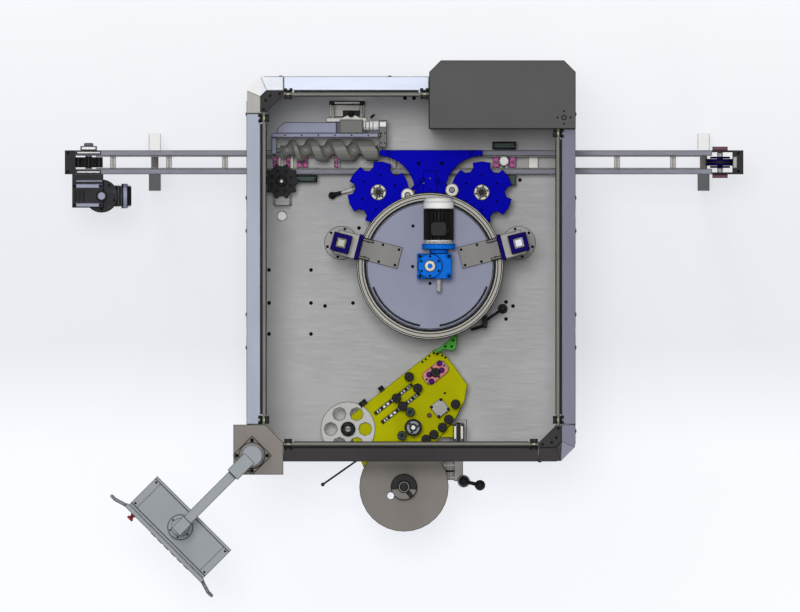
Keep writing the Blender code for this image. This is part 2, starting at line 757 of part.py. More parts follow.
def conveyor_leg(x):
    """A splayed pair of square tubes on levelling feet, joined by a tie."""
    half = LEG_WIDTH / 2
    top = TRANSFER - RAIL_DEPTH * 0.4
    foot = 0.030
    top_out = CONVEYOR_WIDTH / 2 - 0.002
    top_in = top_out - RAIL_WIDTH + 0.004
    shapes = []
    for side in (-1, 1):
        rings = []
        for inner, outer, z in ((LEG_REACH - LEG_DEPTH, LEG_REACH, foot), (top_in, top_out, top)):
            y_in = LINE_Y + side * inner
            y_out = LINE_Y + side * outer
            left, right = x - half, x + half
            rings.append([(left, y_in, z), (right, y_in, z), (right, y_out, z), (left, y_out, z)])
        shapes.append(loft(rings))
        foot_y = LINE_Y + side * (LEG_REACH - LEG_DEPTH / 2)
        shapes.append(disc(x, foot_y, LEG_FOOT_RADIUS, 0, foot + 0.01, 8))
    tie = LEG_REACH - LEG_DEPTH
    rise = LEG_DEPTH * 0.8
    shapes.append(box(
        x - half * 0.6, x + half * 0.6, LINE_Y - tie, LINE_Y + tie, LEG_TIE_HEIGHT - rise, LEG_TIE_HEIGHT
    ))
    return shapes


def conveyor_frame():
    shapes = []
    bottom = TRANSFER - RAIL_DEPTH
    for y in (NEAR_EDGE, FAR_EDGE - RAIL_WIDTH):
        shapes.append(box(RAIL_START, RAIL_END, y, y + RAIL_WIDTH, bottom, TRANSFER))
    bar_z = TRANSFER - RAIL_DEPTH / 2
    x = RAIL_START + CROSSBAR_START
    inner = RAIL_WIDTH / 2
    while x < RAIL_END - CROSSBAR_RADIUS:
        ends = ((x, NEAR_EDGE + inner, bar_z), (x, FAR_EDGE - inner, bar_z))
        shapes.append(rod(*ends, CROSSBAR_RADIUS, 6))
        x += CROSSBAR_SPACING
    shapes += conveyor_leg(RAIL_START + LEG_FROM_START)
    shapes += conveyor_leg(RAIL_END - LEG_FROM_END)
    for x in (LEFT + 0.25, RIGHT - 0.25):
        stand = (x - 0.03, x + 0.03, NEAR_EDGE + 0.003, FAR_EDGE - 0.003)
        shapes.append(box(*stand, TABLE_TOP + GAP, bottom + 0.01))
    shaft_x, shaft_z = sprocket_axis()
    housing = DRIVE_SHAFT_RADIUS * 2.5
    body = fused(*shapes)
    ends = ((shaft_x, NEAR_EDGE - 0.05, shaft_z), (shaft_x, FAR_EDGE + 0.05, shaft_z))
    body = cut(body, rod(*ends, DRIVE_SHAFT_RADIUS + GAP, 20))
    bearing = (shaft_x - housing, shaft_x + housing, FAR_EDGE - 0.002, FAR_EDGE + 0.026)
    cap = ((shaft_x, FAR_EDGE, shaft_z), (shaft_x, FAR_EDGE + 0.042, shaft_z))
    body = fused(
        body,
        box(*bearing, shaft_z - housing, shaft_z + housing),
        rod(*cap, DRIVE_SHAFT_RADIUS * 1.4, 16),
    )
    return piece("conveyor_frame", body, "light_steel")


def sprocket_axis():
    return RAIL_START + SPROCKET_FROM_END, TRANSFER - 0.003 - SPROCKET_RADIUS


def toothed(x, z, radius, depth, teeth, y0, y1):
    """A toothed wheel about an axis along Y."""
    outline = []
    for i in range(teeth):
        middle = 360 * i / teeth
        for angle, r in ((-0.32, radius - depth), (-0.14, radius), (0.14, radius), (0.32, radius - depth)):
            a = math.radians(middle + angle * 360 / teeth)
            outline.append((r * math.cos(a), r * math.sin(a)))
    wheel = plate(outline, y0, y1)
    turn = Matrix.Rotation(math.radians(-90), 4, "X")
    return placed(wheel, Matrix.Translation((x, 0, z)) @ turn)


def conveyor_ends():
    x, z = sprocket_axis()
    bottom = TRANSFER - 0.1
    block = box(RAIL_START - END_BLOCK_LENGTH, RAIL_START - GAP, NEAR_EDGE, FAR_EDGE, bottom, TRANSFER)
    throat = rod((x, NEAR_EDGE + RAIL_WIDTH, z), (x, FAR_EDGE - RAIL_WIDTH, z), SPROCKET_RADIUS + 0.01, 32)
    piece("drive_end_block", cut(block, throat), "black_plastic")
    half = SPROCKET_WIDTH / 2
    wheel = toothed(x, z, SPROCKET_RADIUS, 0.012, SPROCKET_TEETH, LINE_Y - half, LINE_Y + half)
    shaft = rod((x, NEAR_EDGE, z), (x, FAR_EDGE - 0.002 - GAP, z), DRIVE_SHAFT_RADIUS, 20)
    piece("drive_sprocket", fused(wheel, shaft), "light_steel", (x, LINE_Y, z))

    idle_x = RAIL_END + IDLER_FROM_RAIL
    idle_z = TRANSFER - 0.003 - IDLER_RADIUS
    tip = RAIL_END + IDLER_FORK_LENGTH
    end = box(tip, tip + END_BLOCK_LENGTH, NEAR_EDGE, FAR_EDGE, bottom, TRANSFER)
    plates = []
    bearings = []
    for edge, out in ((NEAR_EDGE, -1), (FAR_EDGE, 1)):
        ys = sorted((edge, edge - out * IDLER_FORK_PLATE))
        plates.append(box(RAIL_END + GAP, tip + 0.01, *ys, TRANSFER - RAIL_DEPTH, TRANSFER))
        ys = sorted((edge - out * 0.004, edge + out * 0.022))
        bearings.append(box(idle_x - 0.046, idle_x + 0.046, *ys, idle_z - 0.04, idle_z + 0.04))
    fork = fused(end, *plates)
    bore = IDLER_SHAFT_RADIUS + GAP
    inner = IDLER_FORK_PLATE - 0.002
    hole = rod((idle_x, NEAR_EDGE + 0.002, idle_z), (idle_x, FAR_EDGE - 0.002, idle_z), bore, 20)
    throat = rod(
        (idle_x, NEAR_EDGE + inner, idle_z), (idle_x, FAR_EDGE - inner, idle_z), IDLER_RADIUS + 0.01, 32
    )
    fork = fused(fork, *bearings)
    fork = cut(fork, hole)
    between = (NEAR_EDGE + IDLER_FORK_PLATE, FAR_EDGE - IDLER_FORK_PLATE)
    bite = common(throat, box(tip, tip + 1, *between, 0, TRANSFER + 1))
    piece("idler_end_block", cut(fork, bite), "black_plastic")
    half = IDLER_WIDTH / 2
    wheel = rod((idle_x, LINE_Y - half, idle_z), (idle_x, LINE_Y + half, idle_z), IDLER_RADIUS, 32)
    ends = ((idle_x, NEAR_EDGE + 0.002 + GAP, idle_z), (idle_x, FAR_EDGE - 0.002 - GAP, idle_z))
    shaft = rod(*ends, IDLER_SHAFT_RADIUS, 20)
    piece("idler_wheel", fused(wheel, shaft), "wheel_navy", (idle_x, LINE_Y, idle_z))


def conveyor_drive():
    """Right-angle gearbox on the near rail, with its motor along the conveyor."""
    x, z = sprocket_axis()
    face = NEAR_EDGE - GAP
    y_motor = face - 0.130
    body = box(x - 0.099, x + 0.088, face - 0.2, face, z - 0.1, z + 0.1)
    housing = disc(x + 0.077, y_motor, 0.100, z - 0.085, z + 0.085, 28)
    neck = rod((x, y_motor, z), (x + 0.196, y_motor, z), 0.062, 20)
    piece("conveyor_gearbox", fused(body, housing, neck), "dark_grey")
    start_x = x + 0.196 + GAP
    shell = rod((start_x, y_motor, z), (start_x + 0.012, y_motor, z), 0.074, 24)
    cowl = rod((start_x + 0.01, y_motor, z), (start_x + 0.060, y_motor, z), 0.066, 24, 0.056)
    piece("conveyor_motor", fused(shell, cowl), "black_plastic")


def groove_position(turns):
    """Distance from the screw's end back to the groove centre, after so many turns."""
    if turns <= 0:
        return turns * SCREW_LAST_PITCH
    shrinking = min(turns, (SCREW_LAST_PITCH - SCREW_FIRST_PITCH) / SCREW_PITCH_LOSS)
    distance = SCREW_LAST_PITCH * shrinking - SCREW_PITCH_LOSS * shrinking ** 2 / 2
    return distance + SCREW_FIRST_PITCH * (turns - shrinking)


def groove_radius(offset):
    """The screw's radius at an axial offset from a groove centre."""
    if abs(offset) >= POCKET_RADIUS:
        return SCREW_RADIUS
    bottom = SCREW_RADIUS - SCREW_GROOVE_DEPTH
    rise = POCKET_RADIUS - math.sqrt(POCKET_RADIUS ** 2 - offset ** 2)
    return min(SCREW_RADIUS, bottom + rise)


def timing_screw():
    """A helical bottle groove whose pitch grows towards the star, trimmed to length."""
    around = 16
    across_groove = (-1.0, -0.75, -0.3, 0.3, 0.75, 1.0)
    first_turn = -2
    last_turn = 1
    while groove_position(last_turn - 1) < SCREW_LENGTH:
        last_turn += 1
    rows = []
    for turn in range(first_turn, last_turn + 1):
        plain = turn in (first_turn, last_turn)
        for share in across_groove:
            row = []
            for j in range(around):
                turns = turn + SCREW_PHASE + j / around
                before = groove_position(turns - 0.5)
                after = groove_position(turns + 0.5)
                half = min(POCKET_RADIUS, 0.47 * (after - before))
                along = SCREW_END - groove_position(turns) - share * half
                radius = SCREW_RADIUS if plain else groove_radius(share * half)
                a = math.pi - 2 * math.pi * j / around
                row.append((along, SCREW_Y + radius * math.cos(a), SCREW_Z + radius * math.sin(a)))
            rows.append(row)
    return helical_skin(rows, len(across_groove))


def helical_skin(rows, rows_per_turn):
    """Close a skin whose rows run on into the row one turn later."""
    bm = bmesh.new()
    grid = [[bm.verts.new(point) for point in row] for row in rows]
    last = len(rows[0]) - 1
    for r in range(len(rows) - 1):
        for j in range(last):
            bm.faces.new((grid[r][j], grid[r][j + 1], grid[r + 1][j + 1], grid[r + 1][j]))
        after = r + rows_per_turn
        if after + 1 < len(rows):
            bm.faces.new((grid[r][last], grid[after][0], grid[after + 1][0], grid[r + 1][last]))
    first_rim = list(grid[0]) + [grid[r][0] for r in range(rows_per_turn, 0, -1)]
    final = len(rows) - 1
    last_rim = list(grid[final]) + [grid[r][last] for r in range(final - 1, final - rows_per_turn - 1, -1)]
    for rim in (first_rim, last_rim):
        middle = sum((vert.co for vert in rim), Vector()) / len(rim)
        tip = bm.verts.new((middle.x, SCREW_Y, SCREW_Z))
        for here, following in zip(rim, rim[1:] + rim[:1]):
            bm.faces.new((here, following, tip))
    return shape(bm)


def screw_unit():
    """The infeed screw on its beam, the beam's drive and the cross slide."""
    ends = ((SCREW_START, SCREW_Y, SCREW_Z), (SCREW_END, SCREW_Y, SCREW_Z))
    envelope = rod(*ends, SCREW_RADIUS * 0.75, 24, SCREW_RADIUS * 2.6)
    body = common(timing_screw(), envelope)
    leg_face = SCREW_START - 0.023
    plate_face = SCREW_END + 0.005
    shaft = rod(
        (leg_face + GAP, SCREW_Y, SCREW_Z), (plate_face - GAP, SCREW_Y, SCREW_Z), SCREW_SHAFT_RADIUS, 16
    )
    axis = (SCREW_START, SCREW_Y, SCREW_Z)

    beam_front = SCREW_Y + SCREW_RADIUS + 0.012
    beam_back = beam_front + SCREW_BEAM_DEPTH
    low = TRANSFER - 0.018
    top = SCREW_Z + SCREW_RADIUS + 0.035
    beam = box(leg_face - 0.029, SCREW_END, beam_front, beam_back, low, top)
    leg = box(
        leg_face - 0.029, leg_face, SCREW_Y - 0.023, beam_front + 0.01, SCREW_Z - 0.03, SCREW_Z + 0.03
    )
    end = box(
        plate_face, plate_face + 0.047, SCREW_Y + 0.017, SCREW_Y + 0.181, SCREW_Z - 0.045, SCREW_Z + 0.05
    )
    end_bearing = box(
        plate_face, plate_face + 0.020, SCREW_Y - 0.018, SCREW_Y + 0.020, SCREW_Z - 0.018, SCREW_Z + 0.018
    )
    link_y = (beam_front + 0.002, beam_back - 0.002)
    end_link = box(SCREW_END - 0.02, plate_face + 0.01, *link_y, low + 0.01, top - 0.01)
    cover_start = SCREW_START - 0.018
    cover_end = max(SCREW_END - 0.251, cover_start + 0.06)
    cover = plate(
        [
            (cover_start, beam_back - 0.004), (cover_end, beam_back - 0.004),
            (cover_end, beam_back + 0.065), (cover_start + 0.04, beam_back + 0.065),
            (cover_start, beam_back + 0.025),
        ],
        low + 0.02, top - 0.006,
    )
    lug_front = beam_back + 0.067
    lug_back = lug_front + 0.026
    lug_top = low + 0.060
    lug_left = SCREW_END - 0.311
    lug_right = lug_left + SLIDE_WIDTH
    carriage = box(lug_left, lug_right, beam_front + 0.004, lug_front + 0.004, low, low + 0.018)
    lug = box(lug_left, lug_right, lug_front, lug_back, low, lug_top)
    block_left = (lug_left + lug_right) / 2 - 0.022
    block_back = lug_back + 0.044
    block = box(block_left, block_left + 0.1, lug_back - 0.004, block_back, low, lug_top)
    dome = ball(block_left + 0.05, lug_back + 0.020, lug_top, 0.018)
    unit = fused(beam, leg, end_link, end, end_bearing, cover, carriage, lug, block, dome)
    rod_z = low + 0.034
    rod_places = (lug_left + 0.039, lug_right - 0.033)
    bores = []
    for x in rod_places:
        ends = ((x, lug_front - 0.05, rod_z), (x, lug_back + 0.05, rod_z))
        bores.append(rod(*ends, SLIDE_ROD_RADIUS + GAP, 16))
    unit = piece("screw_beam", cut(unit, *bores), "blue_grey", (block_left, block_back, low))
    piece("infeed_screw", fused(body, shaft), "screw_plastic", axis, unit)

    box_left = lug_left + 0.080
    drive = box(box_left, box_left + 0.139, beam_back + GAP, lug_back - 0.011, lug_top + GAP, top + 0.015)
    drum_y = beam_back + 0.044
    drum_z = SCREW_Z + 0.015
    drum = rod((box_left + 0.13, drum_y, drum_z), (plate_face - GAP, drum_y, drum_z), 0.0275, 20)
    piece("screw_drive", fused(drive, drum), "dark_grey", (box_left, drum_y, drum_z), unit)

    bar_front = block_back + SCREW_TRAVEL + RUNNING_GAP
    bar_back = bar_front + 0.025
    bar_left = lug_left + 0.018
    bar_right = lug_right - 0.011
    shapes = [box(bar_left, bar_right, bar_front, bar_back, low - 0.01, lug_top + 0.005)]
    shapes.append(box(bar_left + 0.02, bar_right - 0.02, bar_front + 0.006, bar_back, TABLE_TOP + GAP, low))
    shapes.append(box(bar_left, bar_right, bar_front - 0.07, bar_back, TABLE_TOP + GAP, TABLE_TOP + 0.012))
    for x in rod_places:
        ends = ((x, lug_front - 0.014, rod_z), (x, bar_front + 0.01, rod_z))
        shapes.append(rod(*ends, SLIDE_ROD_RADIUS, 16))
    piece("screw_slide", fused(*shapes), "light_steel")


def pocketed(x, y, tip, pitch, pocket, count, phase, tip_points=3, pocket_points=6):
    """A wheel outline with round pockets centred on the pitch circle."""
    beta = math.degrees(math.acos((tip ** 2 + pitch ** 2 - pocket ** 2) / (2 * tip * pitch)))
    beta = min(beta, 180 / count * 0.96)
    points = []
    for k in range(count):
        middle = phase + 360 * k / count
        a = math.radians(middle)
        px = pitch * math.cos(a)
        py = pitch * math.sin(a)
        first = math.radians(middle - beta)
        last = math.radians(middle + beta)
        start_angle = math.degrees(math.atan2(tip * math.sin(first) - py, tip * math.cos(first) - px))
        end_angle = math.degrees(math.atan2(tip * math.sin(last) - py, tip * math.cos(last) - px))
        reach = math.hypot(tip * math.cos(first) - px, tip * math.sin(first) - py)
        while end_angle > start_angle:
            end_angle -= 360
        points += arc(x + px, y + py, reach, start_angle, end_angle, pocket_points)
        next_start = middle + 360 / count - beta
        points += arc(x, y, tip, middle + beta, next_start, tip_points)[1:-1]
    return points


def stop_star():
    x = SCREW_START + 0.007
    y = LINE_Y - STOP_STAR_FROM_LINE
    level = TRANSFER + STAR_LOWER_LEVEL
    pitch = STOP_STAR_RADIUS + 0.012
    outline = pocketed(x, y, STOP_STAR_RADIUS, pitch, 0.030, STOP_STAR_TEETH, 18, 2, 3)
    holes = []
    for k in range(8):
        a = math.radians(45 * k + 20)
        ring = STOP_STAR_RADIUS * 0.58
        holes.append(circle(x + ring * math.cos(a), y + ring * math.sin(a), 0.009, 6))
    wheel = plate(outline, level, level + STAR_PLATE, holes)
    hub = disc(x, y, STOP_STAR_RADIUS * 0.3, level - 0.006, level + STAR_PLATE + 0.012, 16)
    piece("stop_star", fused(wheel, hub), "dark_grey", (x, y, level))
    foot = box(x - 0.052, x + 0.063, y - 0.146, y - 0.088, TABLE_TOP + GAP, TABLE_TOP + 0.012)
    upright = box(x - 0.040, x + 0.050, y - 0.146, y - 0.134, TABLE_TOP + 0.005, level - 0.03)
    arm = box(x - 0.040, x + 0.050, y - 0.146, y + 0.025, level - 0.045, level - 0.03)
    boss = disc(x, y, 0.022, level - 0.035, level - 0.006 - GAP, 16)
    piece("stop_star_bracket", fused(foot, upright, arm, boss), "light_steel")


def star_wheel(name, x, phase):
    """Two pocketed plates on one hub, standing on the table."""
    low = TRANSFER + STAR_LOWER_LEVEL
    high = low + STAR_PLATE_SPACING
    outline = pocketed(x, STAR_Y, STAR_TIP, STAR_PITCH_RADIUS, POCKET_RADIUS, STAR_POCKETS, phase, 2, 4)
    shapes = [
        plate(outline, low, low + STAR_PLATE),
        plate(outline, high, high + STAR_PLATE),
        disc(x, STAR_Y, STAR_HUB_RADIUS, low - 0.02, high + STAR_PLATE + 0.010, 20),
        disc(x, STAR_Y, STAR_SHAFT_RADIUS, TABLE_TOP + GAP, low, 16),
        disc(x, STAR_Y, STAR_SHAFT_RADIUS, high, high + STAR_PLATE + 0.022, 6),
    ]
    piece(name, fused(*shapes), "star_blue", (x, STAR_Y, TABLE_TOP))


def guide_outline():
    """The bottle guide between the stars, trimmed to clear both stars and the carousel."""
    clear = STAR_TIP + GUIDE_STAR_CLEARANCE
    to_star = math.degrees(math.atan2(STAR_Y - CAROUSEL_Y, STAR_SPREAD))
    share = (clear ** 2 + STAR_DISTANCE ** 2 - RING_RADIUS ** 2) / (2 * clear * STAR_DISTANCE)
    at_star = 180 + to_star - math.degrees(math.acos(share))
    share = (RING_RADIUS ** 2 + STAR_DISTANCE ** 2 - clear ** 2) / (2 * RING_RADIUS * STAR_DISTANCE)
    at_carousel = to_star + math.degrees(math.acos(share))
    bar_end = STAR_SPREAD + GUIDE_BAR_OVERHANG
    bar_low = STAR_Y + clear + 0.005
    bar_high = bar_low + GUIDE_BAR_DEPTH
    points = [(CAROUSEL_X + bar_end, bar_low), (CAROUSEL_X + bar_end, bar_high)]
    bar_start = max(CAROUSEL_X - bar_end, SCREW_END + GUIDE_SCREW_GAP)
    points += [(bar_start, bar_high), (bar_start, bar_low)]
    points += arc(INFEED_X, STAR_Y, clear, 86, 180 - at_star, 9)
    points += arc(CAROUSEL_X, CAROUSEL_Y, RING_RADIUS, 180 - at_carousel, at_carousel, 8)[1:-1]
    points += arc(OUTFEED_X, STAR_Y, clear, at_star, 92, 9)
    return points, bar_low


def centre_guide():
    outline, bar_low = guide_outline()
    low = TRANSFER + STAR_LOWER_LEVEL
    high = low + STAR_PLATE_SPACING
    shapes = [plate(outline, low, low + STAR_PLATE), plate(outline, high, high + STAR_PLATE)]
    leg_y = NEAR_EDGE - GUIDE_LEG_RADIUS * 3
    spread = (STAR_SPREAD - STAR_TIP - GUIDE_STAR_CLEARANCE) * 0.5
    for x in (CAROUSEL_X - spread, CAROUSEL_X + spread):
        shapes.append(disc(x, leg_y, GUIDE_LEG_RADIUS, TABLE_TOP + GAP, high + STAR_PLATE + 0.02, 10))
        shapes.append(disc(x, leg_y, GUIDE_LEG_RADIUS * 2, TABLE_TOP + GAP, TABLE_TOP + 0.01, 10))
    for x in (CAROUSEL_X - STAR_SPREAD * 0.8, CAROUSEL_X + STAR_SPREAD * 0.8):
        y = bar_low + GUIDE_BAR_DEPTH / 2
        shapes.append(disc(x, y, GUIDE_LEG_RADIUS, TRANSFER + GAP, high + STAR_PLATE + 0.008, 8))
    piece("centre_guide", fused(*shapes), "star_blue")


def around_carousel(angle):
    """Local frame at the carousel: x runs outwards at that angle."""
    place = Matrix.Translation((CAROUSEL_X, CAROUSEL_Y, 0))
    return place @ Matrix.Rotation(math.radians(angle), 4, "Z")


def carousel():
    deck = TRANSFER - PLATE_STEP
    under = deck - TABLE_DISC_THICKNESS
    pedestal = turned(
        [
            (0, under - GAP), (0.125, under - GAP), (0.125, under - 0.015), (0.105, under - 0.022),
            (0.105, TABLE_TOP + 0.020), (0.150, TABLE_TOP + 0.015), (0.150, TABLE_TOP + GAP),
            (0, TABLE_TOP + GAP),
        ],
        CAROUSEL_X, CAROUSEL_Y, 16,
    )
    piece("carousel_pedestal", pedestal, "light_steel")
    edge = BOTTLE_PITCH_RADIUS + RING_INNER_EDGE
    shapes = [turned(
        [
            (0, BELL_BOTTOM - 0.004), (0.060, BELL_BOTTOM - 0.004), (0.060, deck + 0.030), (0.085, deck),
            (edge - 0.004, deck), (edge, deck - 0.004), (edge, under), (0, under),
        ],
        CAROUSEL_X, CAROUSEL_Y, 24,
    )]
    for k in range(HEADS):
        a = 2 * math.pi * k / HEADS
        x = CAROUSEL_X + BOTTLE_PITCH_RADIUS * math.cos(a)
        y = CAROUSEL_Y + BOTTLE_PITCH_RADIUS * math.sin(a)
        shapes.append(disc(x, y, BOTTLE_RADIUS + 0.005, deck - 0.01, TRANSFER, 6))
    piece("carousel_table", fused(*shapes), "light_steel", (CAROUSEL_X, CAROUSEL_Y, under))


def head_rotor():
    edge = BOTTLE_PITCH_RADIUS + RING_INNER_EDGE - 0.012
    shapes = [turned(
        [
            (0, COVER_BOTTOM - GAP), (0.120, COVER_BOTTOM - GAP), (0.120, ROTOR_TOP),
            (edge, ROTOR_TOP), (edge, ROTOR_BOTTOM), (0.110, ROTOR_BOTTOM), (0.070, ROTOR_BOTTOM - 0.040),
            (0.070, BELL_BOTTOM), (0, BELL_BOTTOM),
        ],
        CAROUSEL_X, CAROUSEL_Y, 24,
    )]
    for k in range(HEADS):
        a = 2 * math.pi * k / HEADS
        x = CAROUSEL_X + BOTTLE_PITCH_RADIUS * math.cos(a)
        y = CAROUSEL_Y + BOTTLE_PITCH_RADIUS * math.sin(a)
        bell_top = BELL_BOTTOM + BELL_RADIUS
        shapes.append(rod((x, y, BELL_BOTTOM), (x, y, bell_top), BELL_RADIUS, 6, BELL_RADIUS * 0.55))
        shapes.append(disc(x, y, BELL_RADIUS * 0.5, bell_top - 0.002, ROTOR_BOTTOM + 0.005, 5))
    return piece("head_rotor", fused(*shapes), "light_steel", (CAROUSEL_X, CAROUSEL_Y, ROTOR_TOP))


def arc_band(radius, width, first, last, z0, z1):
    outline = arc(CAROUSEL_X, CAROUSEL_Y, radius + width / 2, first, last, 9)
    outline += arc(CAROUSEL_X, CAROUSEL_Y, radius - width / 2, last, first, 9)
    return plate(outline, z0, z1)


def head_cover():
    inner = BOTTLE_PITCH_RADIUS + RING_INNER_EDGE
    edge = BOTTLE_PITCH_RADIUS + COVER_EDGE
    step = COVER_BOTTOM + COVER_THICKNESS * 0.3
    body = turned(
        [
            (0, HEAD_TOP), (edge - 0.006, HEAD_TOP), (edge, HEAD_TOP - 0.006), (edge, step),
            (RING_RADIUS, step), (RING_RADIUS, COVER_BOTTOM - 0.012), (inner, COVER_BOTTOM - 0.012),
            (inner - 0.004, COVER_BOTTOM), (0, COVER_BOTTOM),
        ],
        CAROUSEL_X, CAROUSEL_Y, 36,
    )
    radius = BOTTLE_PITCH_RADIUS + 0.003
    slots = [
        arc_band(radius, 0.008, 200.5, 260.4, HEAD_TOP - 0.006, HEAD_TOP + 0.01),
        arc_band(radius, 0.008, -80.7, -20.2, HEAD_TOP - 0.006, HEAD_TOP + 0.01),
    ]
    return piece("head_cover", cut(body, *slots), "blue_grey", (CAROUSEL_X, CAROUSEL_Y, HEAD_TOP))


def column_and_arm(side, angle, cover):
    """A square column on its round flange, and the arm whose cheeks slide on it."""
    frame = around_carousel(angle)
    half = COLUMN_SIZE / 2
    bore = COLUMN_BORE / 2
    top = HEAD_TOP + ARM_HEIGHT + HEAD_LIFT + 0.02
    post_shape = box(COLUMN_RADIUS - half, COLUMN_RADIUS + half, -half, half, TABLE_TOP + 0.01, top)
    flange = disc(COLUMN_RADIUS, 0, COLUMN_FLANGE_RADIUS, TABLE_TOP + GAP, TABLE_TOP + 0.020, 32)
    through = box(COLUMN_RADIUS - bore, COLUMN_RADIUS + bore, -bore, bore, TABLE_TOP - 0.1, top + 0.1)
    column = cut(fused(post_shape, flange), through)
    piece("column_" + side, placed(column, frame), "column_blue")

    low = HEAD_TOP + GAP
    high = HEAD_TOP + ARM_HEIGHT
    web_start = COLUMN_RADIUS - half - 0.041
    plate_start = BOTTLE_PITCH_RADIUS * 0.514
    plate_half = ARM_PLATE_WIDTH / 2
    shapes = [box(plate_start, web_start, -plate_half, plate_half, low, low + ARM_PLATE_THICKNESS)]
    for y in (-plate_half + 0.012, plate_half - 0.012):
        rib_low = low + ARM_PLATE_THICKNESS - 0.002
        shapes.append(box(web_start - 0.09, web_start, y - 0.006, y + 0.006, rib_low, high - 0.02))
    shapes.append(box(web_start - 0.025, web_start, -0.079, 0.079, low, high))
    shapes.append(box(web_start - 0.005, COLUMN_RADIUS - half - GAP, -half - 0.02, half + 0.02, low, high))
    for y_side in (-1, 1):
        ys = sorted((y_side * (half + GAP), y_side * (half + 0.020)))
        shapes.append(box(web_start, COLUMN_RADIUS + half * 0.6, *ys, low, high))
    arm = placed(fused(*shapes), frame)
    piece("head_arm_" + side, arm, "light_steel", (CAROUSEL_X, CAROUSEL_Y, HEAD_TOP), cover)


def head_drive(cover):
    """Worm gearbox on the cover, with a finned motor lying along Y."""
    low = HEAD_TOP + GAP
    left = CAROUSEL_X - 0.077
    front = CAROUSEL_Y - 0.077
    back = front + GEARBOX_DEPTH
    top = low + GEARBOX_HEIGHT
    axis_x = CAROUSEL_X + 0.052
    axis_z = HEAD_TOP + MOTOR_AXIS_HEIGHT
    shapes = [box(left, left + GEARBOX_WIDTH, front, back, low, top)]
    shapes.append(disc(CAROUSEL_X, CAROUSEL_Y, 0.073, top - 0.030, top + 0.014, 24))
    shapes.append(disc(CAROUSEL_X, CAROUSEL_Y, 0.034, top, top + 0.028, 16))
    shapes.append(rod((axis_x, front - 0.078, axis_z), (axis_x, front + 0.01, axis_z), 0.014, 12))
    flange_back = back + 0.058
    shapes.append(rod((axis_x, back - 0.005, axis_z), (axis_x, flange_back - 0.03, axis_z), 0.055, 20))
    shapes.append(rod((axis_x, flange_back - 0.033, axis_z), (axis_x, flange_back, axis_z), 0.100, 28))
    piece("head_gearbox", fused(*shapes), "drive_blue", (CAROUSEL_X, CAROUSEL_Y, top), cover)

    motor_front = flange_back + GAP
    motor_back = motor_front + 0.215
    shapes = [rod((axis_x, motor_front, axis_z), (axis_x, motor_back, axis_z), MOTOR_RADIUS * 0.86, 14)]
    flange_end = motor_front + MOTOR_FLANGE
    shapes.append(rod((axis_x, motor_front, axis_z), (axis_x, flange_end, axis_z), MOTOR_RADIUS, 14))
    for k in range(5):
        y = motor_front + 0.035 + 0.034 * k
        shapes.append(rod((axis_x, y, axis_z), (axis_x, y + 0.010, axis_z), MOTOR_RADIUS, 14))
    terminal = MOTOR_RADIUS * 0.7
    terminal_top = axis_z + MOTOR_RADIUS + 0.030
    terminal_room = (axis_x - 0.048, axis_x + 0.048, motor_front + 0.05, motor_front + 0.136)
    shapes.append(box(*terminal_room, axis_z + terminal, terminal_top))
    cowl = (axis_x, motor_back + 0.061, axis_z)
    shapes.append(rod((axis_x, motor_back - 0.01, axis_z), cowl, MOTOR_RADIUS, 14, MOTOR_RADIUS * 0.86))
    piece("head_motor", fused(*shapes), "black_plastic", (axis_x, motor_front, axis_z), cover)


def labelling_head():
    cover = head_cover()
    rotor = head_rotor()
    bpy.context.view_layer.update()
    rotor.parent = cover
    rotor.matrix_parent_inverse = cover.matrix_world.inverted()
    column_and_arm("left", 180 - COLUMN_ANGLE, cover)
    column_and_arm("right", COLUMN_ANGLE, cover)
    head_drive(cover)


def label_frame():
    place = Matrix.Translation((LABEL_X, LABEL_Y, 0))
    return place @ Matrix.Rotation(math.radians(LABEL_ANGLE), 4, "Z")


def label_point(u, v, z=0.0):
    return label_frame() @ Vector((u, v, z))


UNWIND_AT = (0.049, -0.481)
FEED_AT = (0.313, -0.235)
LABEL_ROLLERS = (
    (0.482, 0.020), (0.480, -0.066), (0.342, -0.034), (0.341, -0.094), (0.356, -0.150),
    (0.230, -0.231), (0.384, -0.345), (0.330, -0.338), (0.451, -0.343), (0.510, -0.328), (0.599, -0.282),
)


def label_plate():
    """The yellow plate with its slots, rollers, reel arm and carriage block."""
    low, top = LABEL_BOTTOM, LABEL_TOP
    outline = [
        (0.015, 0.053), (0.709, 0.054), (0.734, -0.018), (0.734, -0.093), (0.728, -0.235),
        (0.654, -0.300), (0.556, -0.345), (0.373, -0.388), (-0.069, -0.239),
    ]
    body = plate(outline, low, top)
    ends = []
    for v in (-0.029, -0.096):
        half = LABEL_SLOT_WIDTH / 2
        ends.append(box(0.183, 0.468, v - half, v + half, low - 0.01, top + 0.01))
    body = cut(body, *ends)
    shapes = [body, disc(0, 0, 0.050, low, top, 20)]
    for u, v in LABEL_ROLLERS:
        shapes.append(disc(u, v, LABEL_ROLLER_RADIUS, top - 0.004, top + LABEL_ROLLER_HEIGHT, 8))
    reach = Vector(UNWIND_AT) - Vector((0.170, -0.290))
    side = Vector((-reach.y, reach.x)).normalized() * 0.030
    root = Vector((0.170, -0.290))
    tip = Vector(UNWIND_AT)
    arm = plate([tuple(root + side), tuple(root - side), tuple(tip - side), tuple(tip + side)], low, top)
    shapes += [arm, disc(*UNWIND_AT, 0.050, low, top, 20)]
    unit = placed(fused(*shapes), label_frame())
    carriage_right = STAND_X - STAND_WIDTH / 2 - GAP
    block = box(
        carriage_right - CARRIAGE_WIDTH, carriage_right, STAND_Y - 0.030, STAND_Y + 0.045,
        low - CARRIAGE_DROP, low + 0.004,
    )
    pivot = (STAND_X, STAND_Y, low)
    return piece("label_plate", fused(unit, block), "plate_yellow", pivot)


